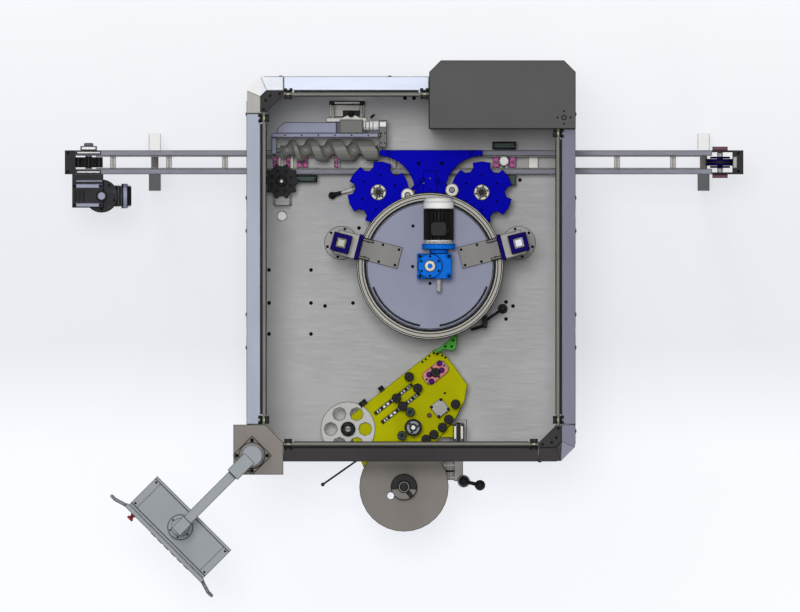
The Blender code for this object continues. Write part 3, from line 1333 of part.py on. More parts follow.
def reel(name, u, v, radius, hub_radius, hub_height, holes, unit):
    """A flat disc on a hub, turning on the label plate."""
    low = LABEL_TOP + GAP
    x, y, _ = label_point(u, v)
    disc_low = low + 0.010
    flange = plate(circle(x, y, radius, 32), disc_low, disc_low + REEL_DISC, holes)
    hub = disc(x, y, hub_radius, low, disc_low + hub_height, 16)
    knob = disc(x, y, hub_radius * 0.45, disc_low + hub_height - 0.002, disc_low + hub_height + 0.02, 10)
    shapes = [flange, hub, knob]
    piece(name, fused(*shapes), "reel_grey", (x, y, low), unit)


def label_unit():
    unit = label_plate()
    frame = label_frame()
    x, y, _ = label_point(*UNWIND_AT)
    holes = [circle(x - 0.080, y - 0.053, 0.021, 10)]
    reel("unwind_reel", *UNWIND_AT, UNWIND_RADIUS, UNWIND_HUB_RADIUS, UNWIND_HUB_HEIGHT, holes, unit)
    x, y, _ = label_point(0, 0)
    holes = []
    for k in range(6):
        a = math.radians(60 * k)
        ring = REWIND_RADIUS * 0.63
        holes.append(circle(x + ring * math.cos(a), y + ring * math.sin(a), REWIND_RADIUS * 0.24, 8))
    reel("rewind_reel", 0, 0, REWIND_RADIUS, REWIND_HUB_RADIUS, REWIND_HUB_HEIGHT, holes, unit)

    low = LABEL_TOP + GAP
    x, y, _ = label_point(*FEED_AT)
    roller_top = low + LABEL_ROLLER_HEIGHT
    roller = disc(x, y, FEED_ROLLER_RADIUS, low, roller_top, 24)
    cap = disc(x, y, FEED_ROLLER_RADIUS * 0.4, roller_top - 0.002, roller_top + 0.01, 12)
    piece("feed_roller", fused(roller, cap), "dark_grey", (x, y, low), unit)

    motor = box(0.467, 0.555, -0.286, -0.198, low, low + 0.060)
    piece("label_motor", placed(motor, frame), "light_steel", (0, 0, 0), unit)

    shapes = [plate(chamfered(0.540, 0.704, -0.103, -0.013, 0.020), low, low + 0.030)]
    for u, v in ((0.570, -0.085), (0.675, -0.030), (0.585, -0.045), (0.660, -0.070)):
        shapes.append(disc(u, v, 0.014, low + 0.028, low + 0.045, 12))
    shapes.append(disc(0.622, -0.058, 0.026, low + 0.028, low + 0.070, 20))
    piece("label_drive", placed(fused(*shapes), frame), "motor_pink", (0, 0, 0), unit)

    blade = [
        (0.690, 0.050), (0.690, 0.030), (0.750, 0.018), (0.778, -0.018), (0.806, -0.023),
        (0.852, 0.022), (0.870, 0.042), (0.866, 0.047), (0.748, 0.044),
    ]
    peeler = placed(plate(blade, low, low + LABEL_ROLLER_HEIGHT), frame)
    piece("peeler", peeler, "peeler_green", (0, 0, 0), unit)

    pivot_u, pivot_v = -0.020, -0.185
    x, y, _ = label_point(pivot_u, pivot_v)
    tip_x, tip_y = x - 0.250, y - 0.175
    z = low + 0.030
    shapes = [disc(x, y, 0.016, low, z + 0.012, 14), rod((x, y, z), (tip_x, tip_y, z), 0.006, 10)]
    shapes.append(disc(tip_x, tip_y, 0.012, z - 0.012, z + 0.070, 12))
    piece("dancer_arm", fused(*shapes), "light_steel", (x, y, z), unit)


def label_stand():
    """The column that carries the label unit, with its lifting gear housing and crank."""
    half = STAND_WIDTH / 2
    back = STAND_Y + STAND_DEPTH / 2
    front = STAND_Y - STAND_DEPTH / 2
    shapes = [box(STAND_X - half, STAND_X + half, front, back, TABLE_TOP + GAP, LABEL_TOP + 0.16)]
    foot_x = (STAND_X - half - 0.02, STAND_X + half + 0.02)
    shapes.append(box(*foot_x, front - 0.02, back + 0.02, TABLE_TOP + GAP, TABLE_TOP + 0.014))
    crank_x = STAND_X + 0.031
    crank_y = FRONT - 0.121
    low = TABLE_TOP + 0.010
    shapes.append(box(STAND_X - 0.027, STAND_X + 0.027, crank_y, front + 0.01, low, low + 0.040))
    shapes.append(disc(crank_x, crank_y, 0.038, low - 0.002, low + 0.046, 20))
    drum_x = STAND_X - 0.054
    drum = ((drum_x, FRONT - LIFT_DRUM_LENGTH, low), (drum_x, FRONT - GAP, low))
    shapes.append(rod(*drum, LIFT_DRUM_RADIUS, 16))
    piece("label_stand", fused(*shapes), "light_steel")
    foot = low + 0.046 + GAP
    arm_z = foot + CRANK_BALL + 0.003
    angle = math.radians(-14)
    end_x = crank_x + CRANK_RADIUS * math.cos(angle)
    end_y = crank_y + CRANK_RADIUS * math.sin(angle)
    shapes = [
        disc(crank_x, crank_y, 0.016, foot, arm_z, 12),
        ball(crank_x, crank_y, arm_z, CRANK_BALL),
        rod((crank_x, crank_y, arm_z), (end_x, end_y, arm_z), 0.012, 10),
        ball(end_x, end_y, arm_z + 0.010, CRANK_BALL),
    ]
    piece("height_crank", fused(*shapes), "black_plastic", (crank_x, crank_y, foot))


def wipe_brush():
    """A brush that presses the label on, on its own post."""
    x = CAROUSEL_X + RING_RADIUS * math.cos(math.radians(-30.4)) + 0.056
    y = CAROUSEL_Y + RING_RADIUS * math.sin(math.radians(-30.4)) - 0.033
    z = TRANSFER + 0.080
    shapes = [
        disc(x, y, 0.030, TABLE_TOP + GAP, TABLE_TOP + 0.012, 16),
        disc(x, y, 0.011, TABLE_TOP + 0.005, z + 0.060, 12),
        rod((x, y, z), (x - 0.110, y - 0.075, z), 0.008, 10),
        box(x - 0.122, x - 0.092, y - 0.110, y - 0.038, z - 0.050, z + 0.050),
        rod((x - 0.107, y - 0.100, z), (x - 0.190, y - 0.125, z), 0.010, 10),
    ]
    piece("wipe_brush", fused(*shapes), "black_plastic")


def operator_panel():
    """The HMI: bracket on the guard corner, swinging arm, box, front panel and stop button."""
    x0 = LEFT - HMI_BRACKET_OUT
    x1 = LEFT + POST_LEG
    y0 = FRONT - HMI_BRACKET_OUT
    y1 = FRONT + POST_LEG
    low = RAIL_TOP + GAP
    cut_leg = 0.108
    outline = [(x0, y0), (x1, y0), (x1, y1 - cut_leg), (x1 - cut_leg, y1), (x0, y1)]
    mount_x = LEFT + 0.030
    mount_y = FRONT + 0.033
    shapes = [plate(outline, low, low + 0.012)]
    diamond = [(mount_x + a, mount_y + b) for a, b in ((0.116, 0), (0, 0.116), (-0.116, 0), (0, -0.116))]
    shapes.append(plate(diamond, low + 0.010, low + 0.022))
    for a, b in ((0.092, 0), (0, 0.092), (-0.092, 0), (0, -0.092)):
        shapes.append(disc(mount_x + a, mount_y + b, 0.009, low + 0.020, low + 0.030, 8))
    shapes.append(disc(mount_x, mount_y, 0.078, low + 0.020, low + 0.050, 28))
    piece("hmi_mount", fused(*shapes), "reel_grey")

    arm_low = low + 0.050 + GAP
    arm_z = arm_low + 0.045
    direction = math.radians(HMI_ARM_ANGLE)
    frame = Matrix.Translation((mount_x, mount_y, 0)) @ Matrix.Rotation(direction, 4, "Z")
    reach = HMI_ARM_LENGTH
    shapes = [
        disc(0, 0, 0.066, arm_low, arm_z + 0.030, 28),
        box(0.020, 0.165, -0.043, 0.043, arm_z - 0.040, arm_z + 0.040),
        box(0.160, reach, -0.030, 0.030, arm_z - 0.030, arm_z + 0.030),
        box(reach - 0.060, reach + 0.038, -0.035, 0.035, arm_z - 0.036, arm_z + 0.036),
        disc(reach, 0, 0.030, arm_z - HMI_DROP, arm_z, 20),
        disc(reach, 0, 0.055, arm_z - HMI_DROP, arm_z - HMI_DROP + 0.02, 24),
    ]
    pivot = (mount_x, mount_y, arm_low)
    arm = piece("hmi_arm", placed(fused(*shapes), frame), "panel_grey", pivot)

    top = arm_z - HMI_DROP - GAP
    bottom = top - HMI_BOX_HEIGHT - 0.015
    hub_x = mount_x + reach * math.cos(direction)
    hub_y = mount_y + reach * math.sin(direction)
    turn = Matrix.Translation((hub_x, hub_y, 0)) @ Matrix.Rotation(math.radians(-45), 4, "Z")
    half = HMI_BOX_WIDTH / 2
    back = HMI_BOX_DEPTH / 2
    body = box(-half, half, -back, back, bottom, top - 0.015)
    hub = disc(0, 0, 0.075, top - 0.020, top, 28)
    hub_pivot = (hub_x, hub_y, top)
    cabinet_box = piece("hmi_box", placed(fused(body, hub), turn), "panel_grey", hub_pivot, arm)

    face = -back - GAP
    front = face - HMI_PANEL_THICKNESS
    wide = half + HMI_PANEL_BORDER
    panel = box(-wide, wide, front, face, bottom - 0.01, top - 0.005)
    shapes = [panel]
    middle_z = (bottom + top) / 2
    for side in (-1, 1):
        out = side * (wide + HMI_HANDLE_OUT - 0.03)
        points = []
        for height in (-0.14, 0.14):
            points.append((side * (wide - 0.01), (front + face) / 2, middle_z + height))
        bend = arc(0, 0, 1.0, -90, 90, 6)
        path = [(points[0][0], points[0][1], points[0][2])]
        for c, s in bend:
            path.append((out + side * 0.03 * c, front - 0.01, middle_z + 0.13 * s))
        path.append(points[1])
        shapes.append(tube(path, 0.011, 1))
    screen = box(-0.115, 0.215, front - 0.01, front + 0.004, middle_z - 0.10, middle_z + 0.13)
    button_x = -0.250
    button_z = middle_z + 0.060
    shaft_radius = ESTOP_RADIUS * 0.6
    bore_ends = ((button_x, front - 0.01, button_z), (button_x, front + 0.014, button_z))
    body = cut(fused(*shapes), screen, rod(*bore_ends, shaft_radius + GAP, 16))
    panel_piece = piece("hmi_panel", placed(body, turn), "panel_grey", hub_pivot, cabinet_box)

    shaft = rod((button_x, front + 0.004, button_z), (button_x, front - 0.022, button_z), shaft_radius, 16)
    cap = rod((button_x, front - 0.020, button_z), (button_x, front - 0.036, button_z), ESTOP_RADIUS, 16)
    place = turn @ Vector((button_x, front, button_z))
    piece("emergency_stop", placed(fused(shaft, cap), turn), "stop_red", tuple(place), panel_piece)


base_frame()
table_plate()
post("rear_left_post", -1, 1)
post("front_left_post", -1, -1)
post("front_right_post", 1, -1)
guard_top_rail()
for guard_side in SIDES:
    guard_door(guard_side)
cabinet()
conveyor_frame()
conveyor_ends()
conveyor_drive()
screw_unit()
stop_star()
star_wheel("infeed_star", INFEED_X, INFEED_STAR_PHASE)
star_wheel("outfeed_star", OUTFEED_X, OUTFEED_STAR_PHASE)
centre_guide()
carousel()
labelling_head()
label_unit()
label_stand()
wipe_brush()
operator_panel()
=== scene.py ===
"""The looks of the rotary labelling machine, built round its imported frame."""
import math

import bmesh
import bpy
from mathutils import Matrix, Vector


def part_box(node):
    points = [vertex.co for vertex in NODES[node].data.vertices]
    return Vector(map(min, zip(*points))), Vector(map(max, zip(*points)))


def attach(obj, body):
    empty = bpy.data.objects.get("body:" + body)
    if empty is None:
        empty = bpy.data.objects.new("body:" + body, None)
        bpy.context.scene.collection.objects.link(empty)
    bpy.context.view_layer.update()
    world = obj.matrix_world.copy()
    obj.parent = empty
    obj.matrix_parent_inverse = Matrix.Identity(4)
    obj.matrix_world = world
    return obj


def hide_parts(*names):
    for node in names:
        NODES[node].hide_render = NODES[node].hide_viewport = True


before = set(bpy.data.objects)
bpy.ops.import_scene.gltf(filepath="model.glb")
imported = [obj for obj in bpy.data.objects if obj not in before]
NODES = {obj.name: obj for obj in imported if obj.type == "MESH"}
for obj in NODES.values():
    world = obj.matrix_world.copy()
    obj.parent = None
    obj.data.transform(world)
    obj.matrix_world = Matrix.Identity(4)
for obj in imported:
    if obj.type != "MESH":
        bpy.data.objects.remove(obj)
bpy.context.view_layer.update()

# The photograph's scale: metres in a pixel, and the pixel over the frame's origin
PIXEL = 0.006
ORIGIN_X = 404
ORIGIN_Y = 328
IMAGE_WIDTH = 800
IMAGE_CENTRE = (400, 306)
MM = 0.001


def px(x, y):
    """The world X and Y of a pixel in the photograph."""
    return (x - ORIGIN_X) * PIXEL, (ORIGIN_Y - y) * PIXEL


def tone(r, g, b):
    """A colour written as screen values from 0 to 255, as the shader's linear values."""
    linear = []
    for value in (r, g, b):
        v = value / 255
        linear.append(v / 12.92 if v <= 0.04045 else ((v + 0.055) / 1.055) ** 2.4)
    return (*linear, 1.0)


# Materials

def blank_tree(owner):
    """The empty node tree of a material or world."""
    owner.use_nodes = True
    owner.node_tree.nodes.clear()
    return owner.node_tree


def plug(tree, node, sockets):
    """Link each socket to another node's output, or set it to a value."""
    for name, value in sockets.items():
        if isinstance(value, bpy.types.NodeSocket):
            tree.links.new(value, node.inputs[name])
        else:
            node.inputs[name].default_value = value


def wired(tree, kind, sockets, **settings):
    """A new shader node with its settings and sockets."""
    node = tree.nodes.new(kind)
    for name, value in settings.items():
        setattr(node, name, value)
    plug(tree, node, sockets)
    return node


def fresh(name):
    """A material with one shader."""
    material = bpy.data.materials.new(name)
    tree = blank_tree(material)
    shader = tree.nodes.new("ShaderNodeBsdfPrincipled")
    wired(tree, "ShaderNodeOutputMaterial", {"Surface": shader.outputs["BSDF"]})
    return material, tree, shader


def noise(tree, scale, detail, stretch=(1, 1, 1)):
    """Cloudy or grainy noise over an object, stretched along its axes."""
    coordinates = tree.nodes.new("ShaderNodeTexCoord")
    mapping = wired(tree, "ShaderNodeMapping", {"Scale": stretch, "Vector": coordinates.outputs["Object"]})
    sockets = {"Scale": scale, "Detail": detail, "Roughness": 0.5, "Vector": mapping.outputs["Vector"]}
    return wired(tree, "ShaderNodeTexNoise", sockets).outputs["Fac"]


def ranged(tree, value, low, high, start=0.3, end=0.7):
    """A value that runs from low to high where its source runs from start to end."""
    sockets = {"From Min": start, "From Max": end, "To Min": low, "To Max": high, "Value": value}
    return wired(tree, "ShaderNodeMapRange", sockets).outputs["Result"]


def blended(tree, factor, first, second):
    """A colour between two, by a factor that varies over the surface."""
    sockets = {"Factor": factor, 6: first, 7: second}
    return wired(tree, "ShaderNodeMix", sockets, data_type="RGBA").outputs[2]


def scaled(colour, factor):
    """A colour made darker or lighter."""
    return (*(min(1.0, c * factor) for c in colour[:3]), 1.0)


# A face counts as an edge from where the rounded normal leaves it
EDGE_RADIUS = 0.0080
EDGE_FROM, EDGE_TO = 0.975, 0.9995
USUAL_EDGE_SHADE = 0.07
USUAL_SPECULAR = 0.2
ROUGHNESS_SPREAD = 0.08
GRAIN_HEIGHT = 0.0006


def edge_mask(tree):
    """1 on a convex or concave edge, 0 on a flat face, with the rounded normal."""
    rounded = wired(tree, "ShaderNodeBevel", {"Radius": EDGE_RADIUS}, samples=6).outputs["Normal"]
    flat = tree.nodes.new("ShaderNodeNewGeometry").outputs["Normal"]
    product = wired(tree, "ShaderNodeVectorMath", {0: rounded, 1: flat}, operation="DOT_PRODUCT")
    return ranged(tree, product.outputs["Value"], 1.0, 0.0, EDGE_FROM, EDGE_TO), rounded


def surface(name, colour, roughness, metallic, patch, vary, grain, bump, stretch, edge_shade, specular):
    """Paint, plastic or metal: cloudy tone, fine grain and darker, softened edges."""
    material, tree, shader = fresh(name)
    cloud = noise(tree, patch, 4.0)
    toned = blended(tree, ranged(tree, cloud, 0, 1), scaled(colour, 1 - vary), scaled(colour, 1 + vary))
    mask, normal = edge_mask(tree)
    toned = blended(tree, mask, toned, scaled(colour, edge_shade))
    fine = noise(tree, grain, 2.0, stretch)
    bumps = wired(tree, "ShaderNodeBump", {
        "Strength": bump, "Distance": GRAIN_HEIGHT, "Height": fine, "Normal": normal,
    })
    plug(tree, shader, {
        "Normal": bumps.outputs["Normal"],
        "Base Color": toned,
        "Roughness": ranged(tree, fine, roughness - ROUGHNESS_SPREAD, roughness + ROUGHNESS_SPREAD),
        "Metallic": metallic,
        "Specular IOR Level": specular,
    })
    return material


def clear_pane(name):
    """Clear polycarbonate with faint wiping marks."""
    material, tree, shader = fresh(name)
    streaks = noise(tree, 9.0, 5.0, (1, 1, 0.25))
    plug(tree, shader, {
        "Base Color": blended(tree, ranged(tree, streaks, 0, 1), tone(226, 233, 238), tone(240, 244, 247)),
        "Roughness": ranged(tree, streaks, 0.03, 0.14),
        "Alpha": 0.28,
        "IOR": 1.58,
    })
    return material


# Each look's screen colour, roughness, metallic, cloud scale, cloud contrast, grain scale and grain depth
SURFACES = {
    "frame_paint": ((150, 152, 156), 0.50, 0.0, 7.0, 0.10, 260, 0.12),
    "table_steel": ((168, 168, 168), 0.54, 0.06, 2.2, 0.05, 180, 0.10),
    # The four guard sheet looks are lit and shaded copies of one sheet: painted light on the rear sheet, painted
    # shade on the left, right and front sheets, darkest at the front
    "guard_rear_painted_light": ((222, 230, 248), 0.50, 0.04, 2.5, 0.05, 200, 0.10),
    "guard_left": ((204, 211, 230), 0.57, 0.02, 2.5, 0.05, 200, 0.10),
    "guard_right": ((160, 161, 184), 0.57, 0.02, 2.5, 0.05, 200, 0.10),
    "guard_front": ((62, 58, 60), 0.65, 0.0, 2.5, 0.06, 200, 0.10),
    "panel_paint": ((168, 170, 174), 0.50, 0.0, 4.0, 0.05, 320, 0.15),
    "rail_steel": ((104, 103, 97), 0.52, 0.08, 5.0, 0.07, 220, 0.10),
    "cabinet_paint": ((82, 82, 82), 0.70, 0.0, 3.0, 0.05, 420, 0.25),
    "steel_light": ((205, 202, 195), 0.47, 0.10, 5.0, 0.06, 260, 0.10),
    "steel_mid": ((150, 148, 145), 0.50, 0.12, 6.0, 0.07, 260, 0.12),
    "arm_steel": ((136, 134, 131), 0.56, 0.05, 6.0, 0.06, 260, 0.10),
    "gusset_grey": ((46, 46, 46), 0.56, 0.05, 6.0, 0.07, 260, 0.10),
    "warm_grey": ((108, 108, 104), 0.54, 0.05, 6.0, 0.06, 260, 0.10),
    "steel_dark": ((62, 62, 61), 0.54, 0.12, 6.0, 0.08, 260, 0.12),
    "rail_blue": ((110, 111, 121), 0.48, 0.10, 4.0, 0.06, 260, 0.10),
    "head_blue_grey": ((134, 137, 156), 0.52, 0.08, 3.0, 0.05, 240, 0.08),
    "star_blue": ((6, 6, 176), 0.65, 0.0, 8.0, 0.08, 300, 0.12),
    "column_blue": ((20, 10, 100), 0.65, 0.0, 8.0, 0.08, 300, 0.12),
    "drive_blue": ((10, 106, 210), 0.60, 0.0, 9.0, 0.10, 350, 0.30),
    "black": ((34, 34, 36), 0.48, 0.0, 8.0, 0.12, 320, 0.20),
    "graphite": ((44, 44, 46), 0.60, 0.04, 8.0, 0.10, 320, 0.20),
    "screw_black": ((118, 118, 112), 0.38, 0.0, 9.0, 0.05, 300, 0.08),
    "yellow": ((176, 176, 0), 0.60, 0.0, 6.0, 0.06, 320, 0.15),
    "green": ((66, 150, 48), 0.60, 0.0, 9.0, 0.10, 320, 0.15),
    "reel_brown": ((126, 121, 116), 0.60, 0.0, 4.0, 0.05, 260, 0.10),
    "reel_light": ((176, 176, 172), 0.36, 0.0, 4.0, 0.05, 260, 0.10),
    "pink": ((205, 122, 112), 0.45, 0.0, 9.0, 0.08, 320, 0.20),
    "purple": ((76, 8, 112), 0.42, 0.0, 9.0, 0.08, 320, 0.15),
    "magenta": ((182, 62, 142), 0.42, 0.0, 9.0, 0.08, 320, 0.15),
    "maroon": ((92, 32, 62), 0.45, 0.0, 9.0, 0.08, 320, 0.15),
    "navy": ((10, 4, 64), 0.60, 0.0, 9.0, 0.08, 320, 0.15),
    "green_black": ((4, 44, 38), 0.45, 0.0, 9.0, 0.10, 320, 0.20),
    "khaki": ((190, 195, 150), 0.45, 0.0, 9.0, 0.06, 320, 0.15),
    "ring_steel": ((176, 173, 164), 0.55, 0.04, 5.0, 0.06, 260, 0.10),
    "cover_beige": ((180, 178, 165), 0.50, 0.0, 6.0, 0.04, 300, 0.12),
    "cover_white": ((228, 231, 240), 0.50, 0.0, 6.0, 0.03, 300, 0.12),
    "white": ((236, 236, 234), 0.45, 0.0, 9.0, 0.03, 320, 0.15),
    "panel_grey": ((138, 143, 148), 0.54, 0.04, 4.0, 0.05, 380, 0.20),
    "screen": ((38, 44, 54), 0.12, 0.0, 3.0, 0.04, 120, 0.02),
    "stop_red": ((176, 26, 24), 0.30, 0.0, 9.0, 0.06, 320, 0.10),
    "button_yellow": ((210, 180, 20), 0.35, 0.0, 9.0, 0.06, 320, 0.10),
}
SPECULAR = {
    "guard_front": 0.05, "cabinet_paint": 0.05, "arm_steel": 0.10, "gusset_grey": 0.10, "star_blue": 0.02,
    "column_blue": 0.02, "drive_blue": 0.04, "black": 0.08, "graphite": 0.08, "screw_black": 0.35,
    "yellow": 0.03, "green": 0.1, "reel_brown": 0.1, "purple": 0.08, "navy": 0.03,
}
BRUSHED_X = (0.05, 1, 1)
BRUSHED_Z = (1, 1, 0.05)
BRUSHED = {
    "table_steel": BRUSHED_X, "steel_light": BRUSHED_X, "steel_mid": BRUSHED_X, "rail_blue": BRUSHED_X,
    "guard_rear_painted_light": BRUSHED_Z, "guard_left": BRUSHED_Z, "guard_right": BRUSHED_Z, "guard_front": BRUSHED_Z,
}
EDGE_SHADES = {"screw_black": 0.75}

LOOK = {}
for look_name, (colour, *values) in SURFACES.items():
    LOOK[look_name] = surface(
        look_name, tone(*colour), *values, BRUSHED.get(look_name, (1, 1, 1)),
        EDGE_SHADES.get(look_name, USUAL_EDGE_SHADE), SPECULAR.get(look_name, USUAL_SPECULAR),
    )
LOOK["pane"] = clear_pane("pane")

NODE_LOOKS = {
    "frame_paint": "base_frame",
    "table_steel": "table_plate",
    # Each guard door takes its side's copy of one sheet: painted light at the rear, painted shade at the left, right
    # and front
    "guard_rear_painted_light": "guard_door_rear",
    "guard_left": "guard_door_left",
    "guard_right": "guard_door_right",
    "guard_front": "guard_door_front",
    "pane": "window_left window_right window_front window_rear",
    "rail_steel": "guard_top_rail",
    "cabinet_paint": "cabinet_shell cabinet_door",
    "steel_light": "carousel_pedestal carousel_table head_rotor screw_slide",
    "steel_mid": "head_arm_left head_arm_right stop_star_bracket label_stand label_motor dancer_arm",
    "rail_blue": "conveyor_frame",
    "head_blue_grey": "head_cover screw_beam",
    "star_blue": "infeed_star outfeed_star centre_guide",
    "column_blue": "column_left column_right",
    "drive_blue": "head_gearbox",
    "black": "drive_end_block drive_sprocket idler_end_block conveyor_motor head_motor height_crank wipe_brush "
             "feed_roller",
    "graphite": "conveyor_gearbox screw_drive stop_star",
    "screw_black": "infeed_screw",
    "yellow": "label_plate",
    "green": "peeler",
    "reel_brown": "unwind_reel hmi_mount",
    "reel_light": "rewind_reel",
    "pink": "label_drive",
    "navy": "idler_wheel",
    "panel_grey": "hmi_arm hmi_box hmi_panel",
    "stop_red": "main_switch emergency_stop",
}

for look_name, node_names in NODE_LOOKS.items():
    for node_name in node_names.split():
        slots = NODES[node_name].material_slots
        if not slots:
            raise ValueError(node_name + " has no material slot")
        for material_slot in slots:
            material_slot.material = LOOK[look_name]


# Pieces

def linked(obj):
    """An object, put in the scene."""
    bpy.context.scene.collection.objects.link(obj)
    return obj


def riding(obj, body):
    """A piece that moves with a CAD body."""
    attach(obj, body)
    return obj


def finished(name, bm, looks, body, bevel=0.0):
    """A piece from a bmesh, with any softened edges, riding on a CAD body."""
    bmesh.ops.recalc_face_normals(bm, faces=bm.faces)
    mesh = bpy.data.meshes.new(name)
    bm.to_mesh(mesh)
    bm.free()
    obj = linked(bpy.data.objects.new(name, mesh))
    for look in looks.split():
        mesh.materials.append(LOOK[look])
    if bevel:
        softened = obj.modifiers.new("soft_edges", "BEVEL")
        softened.width = bevel
        softened.segments = 2
        softened.limit_method = "ANGLE"
        softened.angle_limit = math.radians(40)
        softened.harden_normals = False
    mesh.shade_smooth()
    mesh.set_sharp_from_angle(angle=math.radians(35))
    return riding(obj, body)


def recoloured(node, looks, rule, body):
    """Stand for a CAD node with a copy whose faces take one of several materials."""
    mesh = NODES[node].data.copy()
    mesh.name = node + "_dressed"
    mesh.materials.clear()
    for look in looks.split():
        mesh.materials.append(LOOK[look])
    for face in mesh.polygons:
        face.material_index = rule(face)
    obj = riding(linked(bpy.data.objects.new(node + "_dressed", mesh)), body)
    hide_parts(node)
    return obj


def add_prism(bm, outline, z0, z1, look_index=0, matrix=None):
    """An upright prism on a plan outline."""
    low = [bm.verts.new((x, y, z0)) for x, y in outline]
    high = [bm.verts.new((x, y, z1)) for x, y in outline]
    faces = [bm.faces.new(low[::-1]), bm.faces.new(high)]
    count = len(outline)
    for i in range(count):
        j = (i + 1) % count
        faces.append(bm.faces.new((low[i], low[j], high[j], high[i])))
    for face in faces:
        face.material_index = look_index
    if matrix is not None:
        bmesh.ops.transform(bm, matrix=matrix, verts=low + high)


def add_box(bm, x0, x1, y0, y1, z0, z1, look_index=0, matrix=None):
    """An upright box between two corners."""
    add_prism(bm, [(x0, y0), (x1, y0), (x1, y1), (x0, y1)], z0, z1, look_index, matrix)


def arc(middle, radius, first, last, steps):
    """Plan points on an arc, between two angles in degrees."""
    angles = [math.radians(first + (last - first) * i / steps) for i in range(steps + 1)]
    return [(middle[0] + radius * math.cos(a), middle[1] + radius * math.sin(a)) for a in angles]


def ring_of(middle, radius, count, first=0):
    """Plan points spread evenly round a middle, from a first angle in degrees."""
    return arc(middle, radius, first, first + 360, count)[:-1]


def placed(place, pairs):
    """The points of a placed frame, from its own plan coordinates."""
    return [place @ Vector((u, v, 0)) for u, v in pairs]


def add_turned(bm, middle, profile, sides=28, look_index=0, matrix=None):
    """A solid turned about a vertical axis from (radius, height) points, bottom to top."""
    rings = []
    for radius, z in profile:
        rings.append([bm.verts.new((x, y, z)) for x, y in ring_of(middle, max(radius, 0.0002), sides)])
    faces = [bm.faces.new(rings[0][::-1]), bm.faces.new(rings[-1])]
    for below, above in zip(rings, rings[1:]):
        for i in range(sides):
            j = (i + 1) % sides
            faces.append(bm.faces.new((below[i], below[j], above[j], above[i])))
    for face in faces:
        face.material_index = look_index
    if matrix is not None:
        bmesh.ops.transform(bm, matrix=matrix, verts=[vert for ring in rings for vert in ring])


def turned(bm, middle, base, profile, sides, look_index=0):
    """A turned solid from (radius, height over the base) points in millimetres."""
    points = [(radius * MM, base + height * MM) for radius, height in profile]
    add_turned(bm, middle, points, sides, look_index)


def add_rod(bm, start, end, radius, sides=16, look_index=0, end_radius=None):
    """A round bar or cone from start to end."""
    a, b = Vector(start), Vector(end)
    lying = Matrix.Translation(a) @ (b - a).to_track_quat("Z", "Y").to_matrix().to_4x4()
    far = radius if end_radius is None else end_radius
    add_turned(bm, (0, 0), [(radius, 0), (far, (b - a).length)], sides, look_index, lying)


def add_bolts(bm, spots, z, radius, look_index=0, head=0.6):
    """Socket-head screws seen from above: a chamfered head with a round recess."""
    height = radius * head
    profile = [
        (radius, z), (radius, z + height * 0.8), (radius * 0.86, z + height), (radius * 0.48, z + height),
        (radius * 0.44, z + height * 0.35), (0, z + height * 0.35),
    ]
    for spot in spots:
        add_turned(bm, spot, profile, 12, look_index)


# Stage, light and camera

FLOOR_GLOW = 0.80
FLOOR_ALBEDO = 0.20
FLOOR_TONES = ((0.0, 1.0), (0.34, 0.98), (0.46, 0.80), (0.62, 0.82), (1.0, 1.0))
SKY_LEVEL = 0.33
SKY_TILT = 0.08
SKY_TOWARDS = Vector((-0.25, 0.85, 0.46))
# Each lamp's name, strength, angle and direction; its angle sets how soft the shadows are
LAMPS = (
    ("key", 1.85, 14.0, Vector((-0.05, 0.09, 1.0))),
    ("fill", 1.7, 25.0, Vector((-0.22, 0.94, 0.26))),
    ("front_fill", 0.8, 25.0, Vector((0.22, -0.94, 0.26))),
)


def stage_floor():
    """A pale floor that glows towards the camera and sends little light up."""
    bm = bmesh.new()
    bmesh.ops.create_grid(bm, x_segments=2, y_segments=2, size=30)
    mesh = bpy.data.meshes.new("floor")
    bm.to_mesh(mesh)
    bm.free()
    floor = linked(bpy.data.objects.new("floor", mesh))
    floor.location.z = -0.001
    material = bpy.data.materials.new("floor")
    tree = blank_tree(material)
    coordinates = tree.nodes.new("ShaderNodeTexCoord")
    parts = wired(tree, "ShaderNodeSeparateXYZ", {"Vector": coordinates.outputs["Object"]})
    ramp = wired(tree, "ShaderNodeValToRGB", {"Fac": ranged(tree, parts.outputs["Y"], 0, 1, -2.4, 2.6)})
    elements = ramp.color_ramp.elements
    while len(elements) < len(FLOOR_TONES):
        elements.new(0.5)
    for element, (position, value) in zip(elements, FLOOR_TONES):
        element.position = position
        element.color = (0.94 * value, 0.96 * value, min(1.0, 1.02 * value), 1)
    path = tree.nodes.new("ShaderNodeLightPath")
    seen = path.outputs["Is Camera Ray"]
    for ray in ("Is Glossy Ray", "Is Transmission Ray"):
        seen = wired(tree, "ShaderNodeMath", {0: seen, 1: path.outputs[ray]}, operation="MAXIMUM").outputs["Value"]
    strength = wired(tree, "ShaderNodeMath", {0: seen, 1: FLOOR_GLOW}, operation="MULTIPLY")
    glow = wired(tree, "ShaderNodeEmission", {
        "Color": ramp.outputs["Color"], "Strength": strength.outputs["Value"],
    })
    matte = wired(tree, "ShaderNodeBsdfDiffuse", {"Color": (FLOOR_ALBEDO, FLOOR_ALBEDO, FLOOR_ALBEDO, 1)})
    both = wired(tree, "ShaderNodeAddShader", {0: glow.outputs["Emission"], 1: matte.outputs["BSDF"]})
    wired(tree, "ShaderNodeOutputMaterial", {"Surface": both.outputs["Shader"]})
    mesh.materials.append(material)


